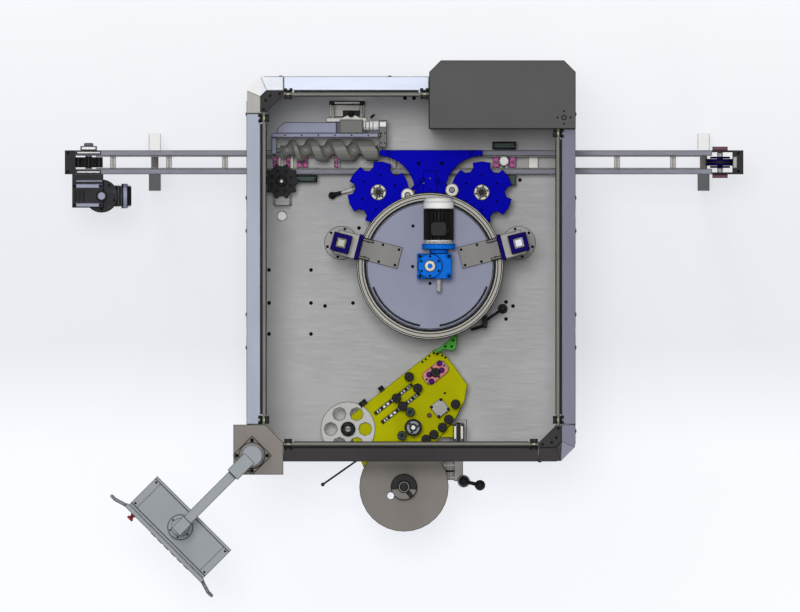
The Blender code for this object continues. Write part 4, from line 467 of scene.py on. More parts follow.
def sky():
    """A soft studio sky, brighter towards the rear left, that the camera sees as pale."""
    world = bpy.data.worlds.new("studio")
    bpy.context.scene.world = world
    tree = blank_tree(world)
    coordinates = tree.nodes.new("ShaderNodeTexCoord")
    product = wired(tree, "ShaderNodeVectorMath", {
        0: coordinates.outputs["Generated"], 1: SKY_TOWARDS.normalized(),
    }, operation="DOT_PRODUCT")
    level = ranged(tree, product.outputs["Value"], SKY_LEVEL - SKY_TILT, SKY_LEVEL + SKY_TILT, -1, 1)
    lit = wired(tree, "ShaderNodeBackground", {"Color": (1.0, 1.0, 1.0, 1), "Strength": level})
    pale = wired(tree, "ShaderNodeBackground", {"Color": (0.90, 0.92, 0.96, 1)})
    path = tree.nodes.new("ShaderNodeLightPath")
    choice = wired(tree, "ShaderNodeMixShader", {
        "Fac": path.outputs["Is Camera Ray"], 1: lit.outputs["Background"], 2: pale.outputs["Background"],
    })
    wired(tree, "ShaderNodeOutputWorld", {"Surface": choice.outputs["Shader"]})


def soft_lamp(name, strength, angle, towards):
    """A large, distant studio lamp."""
    light = bpy.data.lights.new(name, "SUN")
    light.energy = strength
    light.angle = math.radians(angle)
    lamp = linked(bpy.data.objects.new(name, light))
    lamp.rotation_mode = "QUATERNION"
    lamp.rotation_quaternion = towards.to_track_quat("Z", "Y")
    lamp.location = towards * 6


def camera():
    """Straight above the machine, with no perspective, as in the photograph."""
    data = bpy.data.cameras.new("camera")
    data.type = "ORTHO"
    data.ortho_scale = IMAGE_WIDTH * PIXEL
    data.clip_end = 40
    obj = linked(bpy.data.objects.new("camera", data))
    obj.location = (*px(*IMAGE_CENTRE), 12)
    bpy.context.scene.camera = obj


camera()
stage_floor()
sky()
for lamp in LAMPS:
    soft_lamp(*lamp)
bpy.context.scene.view_settings.view_transform = "Standard"

# The machine's main places, in metres

GUARD_LOW, GUARD_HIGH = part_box("base_frame")
LEFT, FRONT = GUARD_LOW.x, GUARD_LOW.y
RIGHT, REAR = GUARD_HIGH.x, GUARD_HIGH.y
SIDES = ("left", "right", "front", "rear")
RAIL_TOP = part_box("hmi_mount")[0].z - 0.0003
HINGE_Z = RAIL_TOP - 0.007
TABLE_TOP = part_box("table_plate")[1].z
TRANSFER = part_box("conveyor_frame")[1].z
LINE_Y = 0.994154
CAROUSEL = Vector((0.156, 0.372))
STARS = {"infeed": Vector((-0.154, 0.814154)), "outfeed": Vector((0.466, 0.814154))}
STAR_HUB = 0.050
HEAD_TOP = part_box("head_cover")[1].z
RING_START = 0.3845
COLUMN_DISTANCE = 0.550
COLUMN_ANGLE = 14.6
LABEL_ORIGIN = Vector((-0.336, -0.606, 0.0))
LABEL_TURN = 38.2
LABEL_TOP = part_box("rewind_reel")[0].z
LABEL_PLACE = Matrix.Translation(LABEL_ORIGIN) @ Matrix.Rotation(math.radians(LABEL_TURN), 4, "Z")
COLUMNS = {
    side: Matrix.Translation((CAROUSEL.x, CAROUSEL.y, 0)) @ Matrix.Rotation(math.radians(angle), 4, "Z")
    for side, angle in (("left", 180 - COLUMN_ANGLE), ("right", COLUMN_ANGLE))
}


def middle_of(node):
    """The plan middle of a node's box, and the height of its top."""
    low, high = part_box(node)
    return ((low.x + high.x) / 2, (low.y + high.y) / 2), high.z


def from_point(face, point):
    """How far a face's middle is from a plan point."""
    return (Vector((face.center.x, face.center.y)) - point).length


# Copies of CAD nodes that show more than one material

LEG_TUBES = (-1.495, 1.79724)
LEG_REACH = 0.045
CROSSBAR_HALF = 0.037
WHEEL_HALF = 0.0345
WEB_START = COLUMN_DISTANCE - 0.120


def post_light_and_shade_rule(x_side, y_side):
    """Dress a corner post in painted light and shade: its x side like that side's door, its y side like the other's.
    """
    def rule(face):
        along_x = abs(face.center.x - (LEFT if x_side < 0 else RIGHT))
        along_y = abs(face.center.y - (FRONT if y_side < 0 else REAR))
        turned_out = abs(face.normal.x) > 0.3 and abs(face.normal.y) > 0.3
        # The turned-out corner face takes the third look: painted highlight on the rear-left post, painted shade on
        # the front posts
        if abs(along_x - along_y) < 0.05 and along_x < 0.09 and turned_out:
            return 2
        return 0 if along_x < along_y else 1
    return rule


def conveyor_rule(face):
    """Bright crossbars, and legs with painted light on their far side, painted shade on their near side and a mid
    tone between.
    """
    across, z = face.center.y - LINE_Y, face.center.z
    for x in LEG_TUBES:
        if abs(face.center.x - x) < LEG_REACH and z < TRANSFER - 0.02 and z != 0:
            # Leg faces: white as painted light on the far side, dark steel as painted shade on the near side,
            # brown-grey between
            return 2 if across > 0.05 else 3 if across < -0.05 else 4
    return 1 if abs(across) < CROSSBAR_HALF else 0


def plate_rule(face):
    """A dark top, a yellow plate and a steel carriage under it."""
    z = face.center.z
    return 1 if z > LABEL_TOP + 0.001 else 2 if z < LABEL_TOP - 0.0135 else 0


def screw_rule(face):
    """The end plate and the slide's two bars stand out from the beam."""
    if face.center.x > -0.1515:
        return 1
    if face.center.y > 1.243 and face.center.z < TRANSFER + 0.06:
        return 2 if face.center.y < 1.2695 else 3
    return 0


def wheel_rule(face):
    """A wheel with a pale shaft."""
    return int(abs(face.center.y - LINE_Y) > WHEEL_HALF)


def dressed_copies():
    """Copies that follow one simple rule each."""
    # The last three looks paint light and shade on the conveyor's legs
    recoloured("conveyor_frame", "rail_blue steel_light white steel_dark reel_brown", conveyor_rule,
               "base")
    recoloured("idler_end_block", "black maroon", lambda face: int(abs(face.center.y - LINE_Y) > 0.073),
               "base")
    recoloured("dancer_arm", "steel_dark black", lambda face: int(face.center.x < -0.48), "dancer")
    # Each post's faces take tones by the way they turn, not materials of their own: painted light on the rear-left
    # post, painted shade on the front posts
    for name, x_side, y_side, looks in (
        ("rear_left_post", -1, 1, "steel_light cover_white white"),
        ("front_left_post", -1, -1, "guard_left guard_front guard_front"),
        ("front_right_post", 1, -1, "guard_right guard_front guard_right"),
    ):
        recoloured(name, looks, post_light_and_shade_rule(x_side, y_side), "base")
    recoloured("head_cover", "head_blue_grey ring_steel",
               lambda face: int(from_point(face, CAROUSEL) > RING_START), "head")
    for side, place in COLUMNS.items():
        inverse = place.inverted()
        recoloured("column_" + side, "column_blue steel_mid",
                   lambda face: int(face.center.z < TABLE_TOP + 0.0205), "base")
        recoloured("head_arm_" + side, "arm_steel steel_mid",
                   lambda face, inverse=inverse: int((inverse @ face.center).x > WEB_START), "head")
    screw = recoloured("infeed_screw", "screw_black", lambda face: 0, "infeed_screw")
    screw.data.shade_smooth()
    screw.data.set_sharp_from_angle(angle=math.radians(38))
    recoloured("screw_drive", "warm_grey white", lambda face: int(face.center.x > -0.2465), "screw_unit")
    for name, middle in STARS.items():
        recoloured(name + "_star", "star_blue steel_mid",
                   lambda face, middle=middle: int(from_point(face, middle) < STAR_HUB), name + "_star")
    recoloured("label_plate", "yellow black steel_mid", plate_rule, "label_unit")
    recoloured("screw_beam", "head_blue_grey warm_grey steel_light black", screw_rule, "screw_unit")


# Head: motor, gearbox details and bolts

MOTOR_RADIUS = 0.0925
MOTOR_FINS = 22
MOTOR_SIDES = 28
FIN_HALF = 0.0026
STUB_START = CAROUSEL.y - 0.0785


def head_motor():
    """The finned motor with its pale cowl and flange, and a dark terminal box."""
    recoloured("head_gearbox", "drive_blue steel_light", lambda face: int(face.center.y < STUB_START),
               "head")
    low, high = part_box("head_motor")
    x, front, back = (low.x + high.x) / 2, low.y, high.y
    z = low.z + MOTOR_RADIUS * 0.99
    core, wide = MOTOR_RADIUS * 0.80, MOTOR_RADIUS * 0.985
    cowl = back - 0.066
    bm = bmesh.new()

    def drum(start, end, radius, look_index, end_radius=None):
        add_rod(bm, (x, start, z), (x, end, z), radius, MOTOR_SIDES, look_index, end_radius)

    drum(front + 0.002, cowl, core, 0)
    for k in range(MOTOR_FINS):
        angle = math.radians(360 * (k + 0.5) / MOTOR_FINS)
        turn = Matrix.Translation((x, 0, z)) @ Matrix.Rotation(angle, 4, "Y")
        add_box(bm, -FIN_HALF, FIN_HALF, front + 0.024, cowl - 0.004, core - 0.004, MOTOR_RADIUS * 0.975, 0, turn)
    drum(front, front + 0.010, wide, 1)
    drum(front + 0.009, front + 0.024, MOTOR_RADIUS * 0.86, 1)
    drum(cowl, back - 0.026, wide, 1)
    drum(back - 0.0262, back, wide, 1, MOTOR_RADIUS * 0.84)
    drum(cowl - 0.006, cowl - 0.001, MOTOR_RADIUS * 0.94, 2)
    box_front = front + 0.048
    add_box(bm, x - 0.047, x + 0.047, box_front, box_front + 0.084, z + core - 0.01, high.z - 0.008, 2)
    add_box(bm, x - 0.048, x + 0.048, box_front - 0.001, box_front + 0.085, high.z - 0.0085, high.z - 0.001, 2)
    corners = [(x + dx, box_front + dy) for dx in (-0.040, 0.040) for dy in (0.008, 0.076)]
    add_bolts(bm, corners, high.z - 0.0022, 0.0034, 0, 0.5)
    gland = (box_front + 0.03, high.z - 0.030)
    add_rod(bm, (x + 0.047, *gland), (x + 0.064, *gland), 0.011, 12, 2)
    motor = finished("head_motor_dressed", bm, "black white graphite", "head", 0.0008)
    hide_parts("head_motor")


BOSS_OFFSETS = [(dx, dy) for dx in (-0.061, 0.114) for dy in (-0.061, 0.059)]
ARM_BOLTS = [(u, v) for u, half in ((0.205, 0.048), (0.305, 0.052), (0.395, 0.050)) for v in (-half, half)]


def head_details():
    """Screws and boss of the head's gearbox, and the bolts of the arms."""
    bm = bmesh.new()
    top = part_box("head_gearbox")[1].z
    hub_low = top - 0.014
    body_top = hub_low - 0.014
    add_bolts(bm, ring_of(CAROUSEL, 0.059, 6, 30), hub_low - 0.0005, 0.0075)
    spots = [(CAROUSEL.x + dx, CAROUSEL.y + dy) for dx, dy in BOSS_OFFSETS]
    for spot in spots:
        turned(bm, spot, body_top, ((19, -1), (19, 4), (16, 6)), 18, 1)
        add_bolts(bm, [spot], body_top + 0.0055, 0.0085)
    turned(bm, CAROUSEL, top, ((34, -2), (34, 0), (31, 1.5), (14, 1.5), (13, -1), (0, -1)), 28, 2)
    finished("gearbox_fasteners", bm, "black drive_blue steel_light", "head")

    bm = bmesh.new()
    for place in COLUMNS.values():
        add_bolts(bm, placed(place, ARM_BOLTS), HEAD_TOP + 0.0143, 0.0085)
    finished("arm_bolts", bm, "black", "head")


WEB_END = COLUMN_DISTANCE - 0.095
WEB_HALF = 0.079
WEB_SKIN = 0.0006
ARM_TOP = HEAD_TOP + 0.080


def arm_webs():
    """The painted cross web of each arm, as a thin skin round the solid's web."""
    for side, place in COLUMNS.items():
        bm = bmesh.new()
        add_box(bm, WEB_START - WEB_SKIN, WEB_END, -WEB_HALF - WEB_SKIN, WEB_HALF + WEB_SKIN,
                HEAD_TOP + 0.0004, ARM_TOP + WEB_SKIN, 0, place)
        finished("arm_web_" + side, bm, "column_blue", "head")


def column_bolts():
    """Bolts round the foot flange of each column."""
    bm = bmesh.new()
    for place in COLUMNS.values():
        spots = placed(place, ring_of((COLUMN_DISTANCE, 0), 0.086, 6, 30))
        add_bolts(bm, spots, TABLE_TOP + 0.0195, 0.0085)
    finished("flange_bolts", bm, "black", "base")


HEAD_STEP = HEAD_TOP - 0.0224
# Radius and width of each groove, then radius, first and last angle of each slot
HEAD_GROOVES = ((0.3905, 0.012), (0.4080, 0.0055), (0.4290, 0.0050), (0.4385, 0.0040))
HEAD_SLOTS = ((0.363, 200.8, 260.1), (0.363, -80.4, -20.5))
SLOT_WIDTH = 0.0074
HEAD_PLUGS = ((413, 226), (412.6, 266.5), (430, 283.5))


def ring_lines():
    """Dark grooves round the head's disc, and the liners of its two long slots."""
    bm = bmesh.new()

    def band(radius, width, first, last, z0, z1, steps):
        outer = arc(CAROUSEL, radius + width / 2, first, last, steps)
        inner = arc(CAROUSEL, radius - width / 2, first, last, steps)
        for i in range(steps):
            add_prism(bm, [inner[i], outer[i], outer[i + 1], inner[i + 1]], z0, z1)

    for radius, width in HEAD_GROOVES:
        band(radius, width, 0, 360, HEAD_STEP - 0.004, HEAD_STEP + 0.0010, 72)
    for radius, first, last in HEAD_SLOTS:
        band(radius, SLOT_WIDTH, first, last, HEAD_TOP - 0.0062, HEAD_TOP - 0.0046, 24)
    finished("head_ring_lines", bm, "black", "head")

    bm = bmesh.new()
    add_bolts(bm, [px(*pixel) for pixel in HEAD_PLUGS], HEAD_TOP - 0.001, 0.010)
    finished("head_disc_plugs", bm, "black", "head")


# Stars, table and conveyor line

NUT_POINTS = 16
NUT_RADII = (0.0175, 0.0245)
STAR_SCREW_TURN = {"infeed": 22, "outfeed": 30}


def star_hubs():
    """The clamp on each star: a pale ring, a dark splined nut and six screws."""
    for name, middle in STARS.items():
        bm = bmesh.new()
        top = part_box(name + "_star")[1].z
        rim = top - 0.012
        turned(bm, middle, rim, ((47, -2), (47, 2), (45, 4), (30, 4), (27.5, -1)), 36)
        near, far = (ring_of(middle, radius, NUT_POINTS) for radius in NUT_RADII)
        add_prism(bm, [(far if k % 2 else near)[k] for k in range(NUT_POINTS)], top - 0.004, top + 0.0015, 1)
        add_bolts(bm, ring_of(middle, 0.0375, 6, 15), rim + 0.0032, 0.0042, 1)
        finished(name + "_star_clamp", bm, "steel_light black", name + "_star")
        bm = bmesh.new()
        add_bolts(bm, ring_of(middle, 0.105, 6, STAR_SCREW_TURN[name]), top - 0.023, 0.0065)
        finished(name + "_star_screws", bm, "navy", name + "_star")


TABLE_HOLES = (
    (269, 270), (311, 270), (269, 303), (311, 303), (269, 334), (311, 334), (325, 306), (359, 228),
    (405, 98), (414, 98), (520, 180), (506, 302), (513, 306), (506, 319), (353, 303),
)
TABLE_PLUG = (282, 216)


def table_holes():
    """Black discs on the table where its tapped holes are, as painted shade of the holes, and a pale plug."""
    bm = bmesh.new()
    for x, y in TABLE_HOLES:
        # A black disc a little proud of the table stands for each hole: painted shade where the hole is
        turned(bm, px(x, y), TABLE_TOP, ((11.5, -1), (11.5, 0.6), (9.5, 0.8), (8.5, 0.4), (0, 0.3)), 18)
    finished("table_hole_painted_shade", bm, "black", "base")
    bm = bmesh.new()
    plug_spot = px(*TABLE_PLUG)
    turned(bm, plug_spot, TABLE_TOP, ((29, -1), (29, 1), (26.5, 2), (0, 2)), 28)
    turned(bm, plug_spot, TABLE_TOP, ((31, -1), (31, 0.6), (30, 0.8)), 28, 1)
    finished("table_plug", bm, "white black", "base")


# Each guide clamp's pixel and half width
GUIDE_CLAMPS = (
    (275.0, 0.012), (288.0, 0.014), (299.5, 0.016), (305.5, 0.013), (336.5, 0.012), (496.0, 0.019), (512.5, 0.018),
)
# The pixel rows of their front and rear ends
CLAMP_ROWS = (167.5, 157)


def guide_clamps():
    """Guide rail clamps between the conveyor's rails: a stud, a block and a knob."""
    bm = bmesh.new()
    z = TRANSFER - 0.052
    for x, half in GUIDE_CLAMPS:
        cx, low_y = px(x, CLAMP_ROWS[0])
        _, high_y = px(x, CLAMP_ROWS[1])
        add_box(bm, cx - half, cx + half, low_y, high_y, z, z + 0.016)
        add_rod(bm, (cx, low_y - 0.006, z + 0.008), (cx, high_y + 0.004, z + 0.008), 0.005, 12, 1)
        turned(bm, (cx, (low_y + high_y) / 2), z, ((6.5, 15), (6.5, 21), (4.5, 23)), 12, 1)
    finished("guide_clamps", bm, "magenta steel_light", "base", 0.0008)


RAIL_INSIDE = 0.039


def guide_rails():
    """Bright slide strips on the inner sides of the conveyor's rails."""
    bm = bmesh.new()
    low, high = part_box("conveyor_frame")
    for y in (LINE_Y - RAIL_INSIDE + 0.0004, LINE_Y + RAIL_INSIDE - 0.0064):
        add_box(bm, low.x + 0.12, high.x - 0.06, y, y + 0.006, TRANSFER - 0.024, TRANSFER - 0.003)
    finished("wear_strips", bm, "steel_light", "base", 0.0008)


SENSOR_LOW = TRANSFER - 0.055
SMALL_SENSOR = ((509, 182), (516, 182))
REFLECTOR = (504, 161)
# The housings' rear side by the conveyor, then each one's left, right, front and rear
SENSOR_REAR = 0.9175
INFEED_SENSOR = (-0.655, -0.520, 0.874, SENSOR_REAR)
OUTFEED_SENSOR = (0.530, 0.671, 1.0715, 1.119)


def sensor_post(bm, x, y, footed=True):
    """A post under a sensor's housing, on a foot of its own or bare."""
    add_rod(bm, (x, y, TABLE_TOP), (x, y, SENSOR_LOW + 0.001), 0.010, 16, 2)
    if footed:
        turned(bm, (x, y), TABLE_TOP, ((22, 0), (22, 6), (18, 10)), 18, 2)


def sensors():
    """Bottle sensors in dark housings beside the conveyor, and a reflector."""
    bm = bmesh.new()
    x0, x1, y0, y1 = INFEED_SENSOR
    add_box(bm, x0, x1, y0, y1, SENSOR_LOW, TRANSFER + 0.008, 1)
    add_box(bm, x0 + 0.007, x1 - 0.007, y0 + 0.006, y1 - 0.008, TRANSFER + 0.0075, TRANSFER + 0.011)
    add_bolts(bm, [(x0 + 0.015, y0 + 0.018), (x1 - 0.015, y0 + 0.018)], TRANSFER + 0.0102, 0.0045, 1)
    sensor_post(bm, x0 + 0.03, (y0 + y1) / 2)
    sensor_post(bm, x1 - 0.03, (y0 + y1) / 2, False)
    finished("infeed_sensor", bm, "green_black black steel_mid", "base", 0.001)

    bm = bmesh.new()
    x0, x1, y0, y1 = OUTFEED_SENSOR
    add_box(bm, x0, x1, y0, y1, SENSOR_LOW, TRANSFER + 0.012, 1)
    add_box(bm, x0 + 0.006, x1 - 0.006, y0 + 0.008, y1 - 0.008, TRANSFER + 0.0115, TRANSFER + 0.016)
    sensor_post(bm, x0 + 0.030, (y0 + y1) / 2)
    sensor_post(bm, x1 - 0.030, (y0 + y1) / 2)
    x0, y0 = px(*SMALL_SENSOR[0])
    x1, _ = px(*SMALL_SENSOR[1])
    add_box(bm, x0, x1, y0 - 0.02, SENSOR_REAR, SENSOR_LOW, TRANSFER + 0.004)
    add_rod(bm, ((x0 + x1) / 2, y0, TABLE_TOP), ((x0 + x1) / 2, y0, SENSOR_LOW + 0.001), 0.009, 16, 2)
    finished("outfeed_sensor", bm, "green_black black steel_mid", "base", 0.001)

    bm = bmesh.new()
    spot = px(*REFLECTOR)
    z = TRANSFER - 0.040
    turned(bm, spot, TRANSFER, ((30, -45), (30, -20), (27, -17), (0, -17)), 28)
    turned(bm, spot, TRANSFER, ((33, -46), (33, -30), (31, -28)), 28, 1)
    add_rod(bm, (spot[0], LINE_Y - 0.041, z), (spot[0], LINE_Y + 0.041, z), 0.006, 12, 1)
    finished("outfeed_reflector", bm, "white black", "base", 0.0006)


LEVER = ((332, 195.5), (340, 193), (341, 192.7), (353, 189))


def clamp_lever():
    """The adjusting lever beside the infeed star: a pale arm with a dark knob."""
    bm = bmesh.new()
    tip, grip, neck, root = (px(*pixel) for pixel in LEVER)
    z = TABLE_TOP + 0.060
    turned(bm, root, TABLE_TOP, ((20, 0), (20, 6), (13, 10), (13, 54)), 20, 1)
    add_rod(bm, (*root, z), (*grip, z + 0.004), 0.013, 16, 1, 0.009)
    add_rod(bm, (*neck, z + 0.004), (*tip, z + 0.006), 0.011, 16, 0, 0.017)
    turned(bm, tip, z, ((6, -12), (16, -8), (22, 2), (22, 10), (14, 20), (0, 23)), 20)
    finished("clamp_lever", bm, "black steel_light", "base", 0.0008)


GUIDE_TOP = TRANSFER + 0.122
DISC_ARM_HALF = 0.011
GUIDE_DISCS = (((407.6, 195), (418, 183)), ((452, 190), (441, 183)))
GUIDE_BOLTS = ((418.7, 163.4), (441.7, 163.4))
GUIDE_FRAME = ((423, 193.8), (437, 170.6))
GUIDE_PINS = (((430, 178.5), 1), ((423.8, 183), 1), ((430.2, 189.7), 0))


def guide_rollers():
    """Two tension discs on short arms from the centre guide, above the stars."""
    bm = bmesh.new()
    z = GUIDE_TOP + 0.0125
    for disc_pixel, anchor_pixel in GUIDE_DISCS:
        disc, anchor = Vector(px(*disc_pixel)), Vector(px(*anchor_pixel))
        direction = (anchor - disc).normalized()
        side = Vector((-direction.y, direction.x)) * DISC_ARM_HALF
        end = anchor + direction * 0.012
        add_prism(bm, [disc + side, disc - side, end - side, end + side], z - 0.003, z + 0.003, 3)
        turned(bm, anchor, GUIDE_TOP, ((12, -1), (12, 10.5)), 16, 3)
        turned(bm, disc, z, ((40, -4), (40, 8), (37, 11), (17, 11), (16, 9), (0, 9)), 32)
        turned(bm, disc, z, ((13.5, 8), (13.5, 14), (11.5, 16), (5, 16), (4, 14)), 20)
        turned(bm, disc, z, ((16.5, 8.5), (16.5, 9.6), (13, 9.6)), 24, 2)
    finished("guide_discs", bm, "steel_light steel_mid black star_blue", "base", 0.0006)

    bm = bmesh.new()
    add_bolts(bm, [px(*pixel) for pixel in GUIDE_BOLTS], GUIDE_TOP - 0.001, 0.012, 0, 0.25)
    (x0, y0), (x1, y1) = (px(*pixel) for pixel in GUIDE_FRAME)
    for a0, a1, b0, b1 in ((x0, x0 + 0.004, y0, y1), (x1 - 0.004, x1, y0, y1), (x0, x1, y1 - 0.004, y1)):
        add_box(bm, a0, a1, b0, b1, GUIDE_TOP - 0.001, GUIDE_TOP + 0.0012)
    for pixel, look_index in GUIDE_PINS:
        add_bolts(bm, [px(*pixel)], GUIDE_TOP - 0.0005, 0.006, look_index, 0.4)
    finished("guide_marks", bm, "navy steel_light", "base")


# Guard: gussets, hinges and seals

HINGE_FROM_END = 0.026
RAIL_OUT = 0.092
RAIL_IN = 0.114
SEAL_OUT = 0.0795
HINGE_REACH = 0.034
GUSSET = (
    (0.0804, 0.1140), (0.1170, 0.0806), (0.2196, 0.0806), (0.2196, 0.1080), (0.1140, 0.2126), (0.0804, 0.2126),
)
GUSSET_SCREWS = ((0.112, 0.140), (0.140, 0.112), (0.100, 0.196), (0.196, 0.100))


def guard_place(side, depth, along):
    """A plan point at a guard side: depth goes inwards, along runs beside it."""
    if side == "left":
        return LEFT + depth, along
    if side == "right":
        return RIGHT - depth, along
    if side == "front":
        return along, FRONT + depth
    return along, REAR - depth


def guard_strip(bm, side, depth0, depth1, along0, along1, z0, z1, look_index=0):
    """A box that runs beside a guard side."""
    x0, y0 = guard_place(side, depth0, along0)
    x1, y1 = guard_place(side, depth1, along1)
    add_box(bm, min(x0, x1), max(x0, x1), min(y0, y1), max(y0, y1), z0, z1, look_index)


def run_of(side, node):
    """Where a node at a guard side starts and ends along it."""
    low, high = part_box(node)
    return (low.y, high.y) if side in ("left", "right") else (low.x, high.x)


def rail_rule(face):
    """Black knuckles outside the rail's strip."""
    x, y, _ = face.center
    return int(min(x - LEFT, RIGHT - x, y - FRONT, REAR - y) < RAIL_OUT - 0.001)


def guard_trim():
    """Black knuckles, hinge brackets, their marks on the rail, seals beside it and gussets."""
    recoloured("guard_top_rail", "rail_steel black", rail_rule, "base")
    # Each door's sheet is its side's copy of one sheet: painted light at the rear, painted shade at the left, right
    # and front
    for side, sheet in zip(SIDES, ("guard_left", "guard_right", "guard_front", "guard_rear_painted_light")):
        recoloured("guard_door_" + side, sheet + " black", lambda face: int(face.center.z > HINGE_Z - 0.009),
                   "door_" + side)
    brackets = bmesh.new()
    seals = bmesh.new()
    for side in SIDES:
        first, last = run_of(side, "guard_door_" + side)
        hinges = (first + HINGE_FROM_END, last - HINGE_FROM_END)
        for place in hinges:
            guard_strip(brackets, side, RAIL_IN - 0.004, RAIL_IN + 0.019, place - 0.0235, place + 0.0235,
                        RAIL_TOP - 0.016, RAIL_TOP + 0.0075)
            spots = [guard_place(side, RAIL_IN + 0.008, place + shift) for shift in (-0.013, 0.013)]
            add_bolts(brackets, spots, RAIL_TOP + 0.0068, 0.0045, 2)
            guard_strip(brackets, side, RAIL_OUT + 0.004, RAIL_IN - 0.005, place - 0.012, place + 0.012,
                        RAIL_TOP - 0.001, RAIL_TOP + 0.0015, 1)
        starts = (first, *(place + HINGE_REACH for place in hinges))
        ends = (*(place - HINGE_REACH for place in hinges), last)
        for start, end in zip(starts, ends):
            if end - start > 0.02:
                guard_strip(seals, side, SEAL_OUT, RAIL_OUT - 0.0006, start, end, HINGE_Z - 0.011, HINGE_Z - 0.003)
                guard_strip(seals, side, RAIL_IN + 0.0004, RAIL_IN + 0.004, start, end,
                            RAIL_TOP - 0.018, RAIL_TOP - 0.001)
    finished("hinge_brackets", brackets, "black khaki steel_dark", "base", 0.0006)
    finished("guard_seals", seals, "black", "base", 0.0004)

    bm = bmesh.new()
    for x_side, y_side in ((-1, 1), (1, -1), (-1, -1)):
        x = LEFT if x_side < 0 else RIGHT
        y = FRONT if y_side < 0 else REAR
        outline, screws = (
            [(x - x_side * in_x, y - y_side * in_y) for in_x, in_y in points] for points in (GUSSET, GUSSET_SCREWS)
        )
        add_prism(bm, outline, RAIL_TOP - 0.001, RAIL_TOP + 0.0012)
        add_bolts(bm, screws, RAIL_TOP + 0.0010, 0.0055, 1)
    finished("rail_gussets", bm, "gusset_grey black", "base", 0.0005)


# Cabinet roof and switch, and the columns' caps

ROOF_EYE = (0.960, 1.263)


def cabinet_trim():
    """The roof's eye, black discs as painted shade of its holes, and the main switch's plate and grip."""
    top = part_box("cabinet_shell")[1].z
    bm = bmesh.new()
    turned(bm, ROOF_EYE, top, ((18, -1), (18, 0.3), (0, 0.3)), 6)
    turned(bm, ROOF_EYE, top, ((12.5, -1), (12.5, 0.6), (0, 0.6)), 6, 1)
    # Black discs flush with the roof: painted shade where its holes are
    for spot in ring_of(ROOF_EYE, 0.038, 4):
        turned(bm, spot, top, ((5.8, -1), (5.8, 0), (0, 0)), 14)
    finished("cabinet_roof_holes", bm, "black cabinet_paint", "base")

    low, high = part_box("main_switch")
    x, z = (low.x + high.x) / 2, (low.z + high.z) / 2
    bm = bmesh.new()
    add_rod(bm, (x, low.y - 0.0002, z), (x, low.y + 0.0016, z), 0.0365, 32)
    finished("switch_plate", bm, "button_yellow", "cabinet_door")
    bm = bmesh.new()
    add_rod(bm, (x, low.y + 0.0060, z), (x, low.y + 0.0082, z), 0.0275, 32)
    add_box(bm, x - 0.0055, x + 0.0055, high.y - 0.0030, high.y - 0.0002, z - 0.0275, z + 0.0275)
    finished("switch_grip", bm, "stop_red", "main_switch", 0.0008)


def column_covers():
    """Pale covers inside the columns' bores."""
    for side, look in (("left", "cover_beige"), ("right", "cover_white")):
        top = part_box("column_" + side)[1].z
        bm = bmesh.new()
        for half, z0, z1 in ((0.0292, top - 0.010, top - 0.004), (0.0222, top - 0.0045, top - 0.002)):
            add_box(bm, COLUMN_DISTANCE - half, COLUMN_DISTANCE + half, -half, half, z0, z1, 0, COLUMNS[side])
        finished("column_cap_" + side, bm, look, "base", 0.0008)


# Label unit: points in the plate's own frame, and turned profiles in millimetres

SLOT_LINES = (-0.029, -0.096)
SLOT_BLOCKS = (0.190, 0.236, 0.300, 0.372, 0.420, 0.461)
SLOT_PINS = (0.214, 0.268, 0.336, 0.396, 0.441)
PLATE_BLOCKS = ((0.306, 0.066, 0.034, 0.032), (0.166, 0.066, 0.050, 0.034))
PLATE_STUD = (0.434, -0.237)
MOTOR_SCREWS = ((0.475, -0.206), (0.547, -0.206), (0.475, -0.278), (0.547, -0.278))
DRIVE_PULLEYS = ((0.570, -0.085), (0.675, -0.030), (0.585, -0.045), (0.660, -0.070))
DRIVE_MIDDLE = (0.622, -0.058)
DRIVE_SCREWS = ((0.556, -0.058), (0.688, -0.058), (0.622, -0.093), (0.622, -0.023))
PEELER_WEDGE = ((0.853, 0.040), (0.870, 0.046), (0.898, 0.062), (0.893, 0.070), (0.862, 0.052))
PEELER_SCREWS = ((0.765, 0.028), (0.795, 0.005), (0.825, 0.028))
LABEL_ROLLERS = (
    (0.482, 0.020), (0.480, -0.066), (0.342, -0.034), (0.341, -0.094), (0.356, -0.150),
    (0.230, -0.231), (0.384, -0.345), (0.330, -0.338), (0.451, -0.343), (0.510, -0.328), (0.599, -0.282),
)
GREEN_ROLLERS = ((0.356, -0.150), (0.230, -0.231))
PLATE_TOP = LABEL_TOP - 0.0003
PLATE_LOW = PLATE_TOP - 0.012
PLATE_SCREWS = (
    (0.600, 0.040), (0.625, 0.040), (0.655, 0.042), (0.685, 0.040), (0.700, 0.020), (0.716, -0.004),
    (0.724, -0.024), (0.590, -0.190), (0.020, 0.035),
)
ROLLER_TOP = LABEL_TOP + 0.1197
ROLLER = ((27.5, -119.7), (27.5, -2), (25.5, 1), (13.5, 1), (12.5, -1), (0, -1))
PULLEY = ((17.5, 29.5), (17.5, 45.5), (15, 47), (6, 47), (5, 46), (0, 46))
PULLEY_HUB = ((27.5, 29.5), (27.5, 71), (24, 73), (10, 73), (9, 71.5), (0, 71.5))


def on_label(*pairs):
    """Points in the label plate's own frame, as plan points."""
    return placed(LABEL_PLACE, pairs)


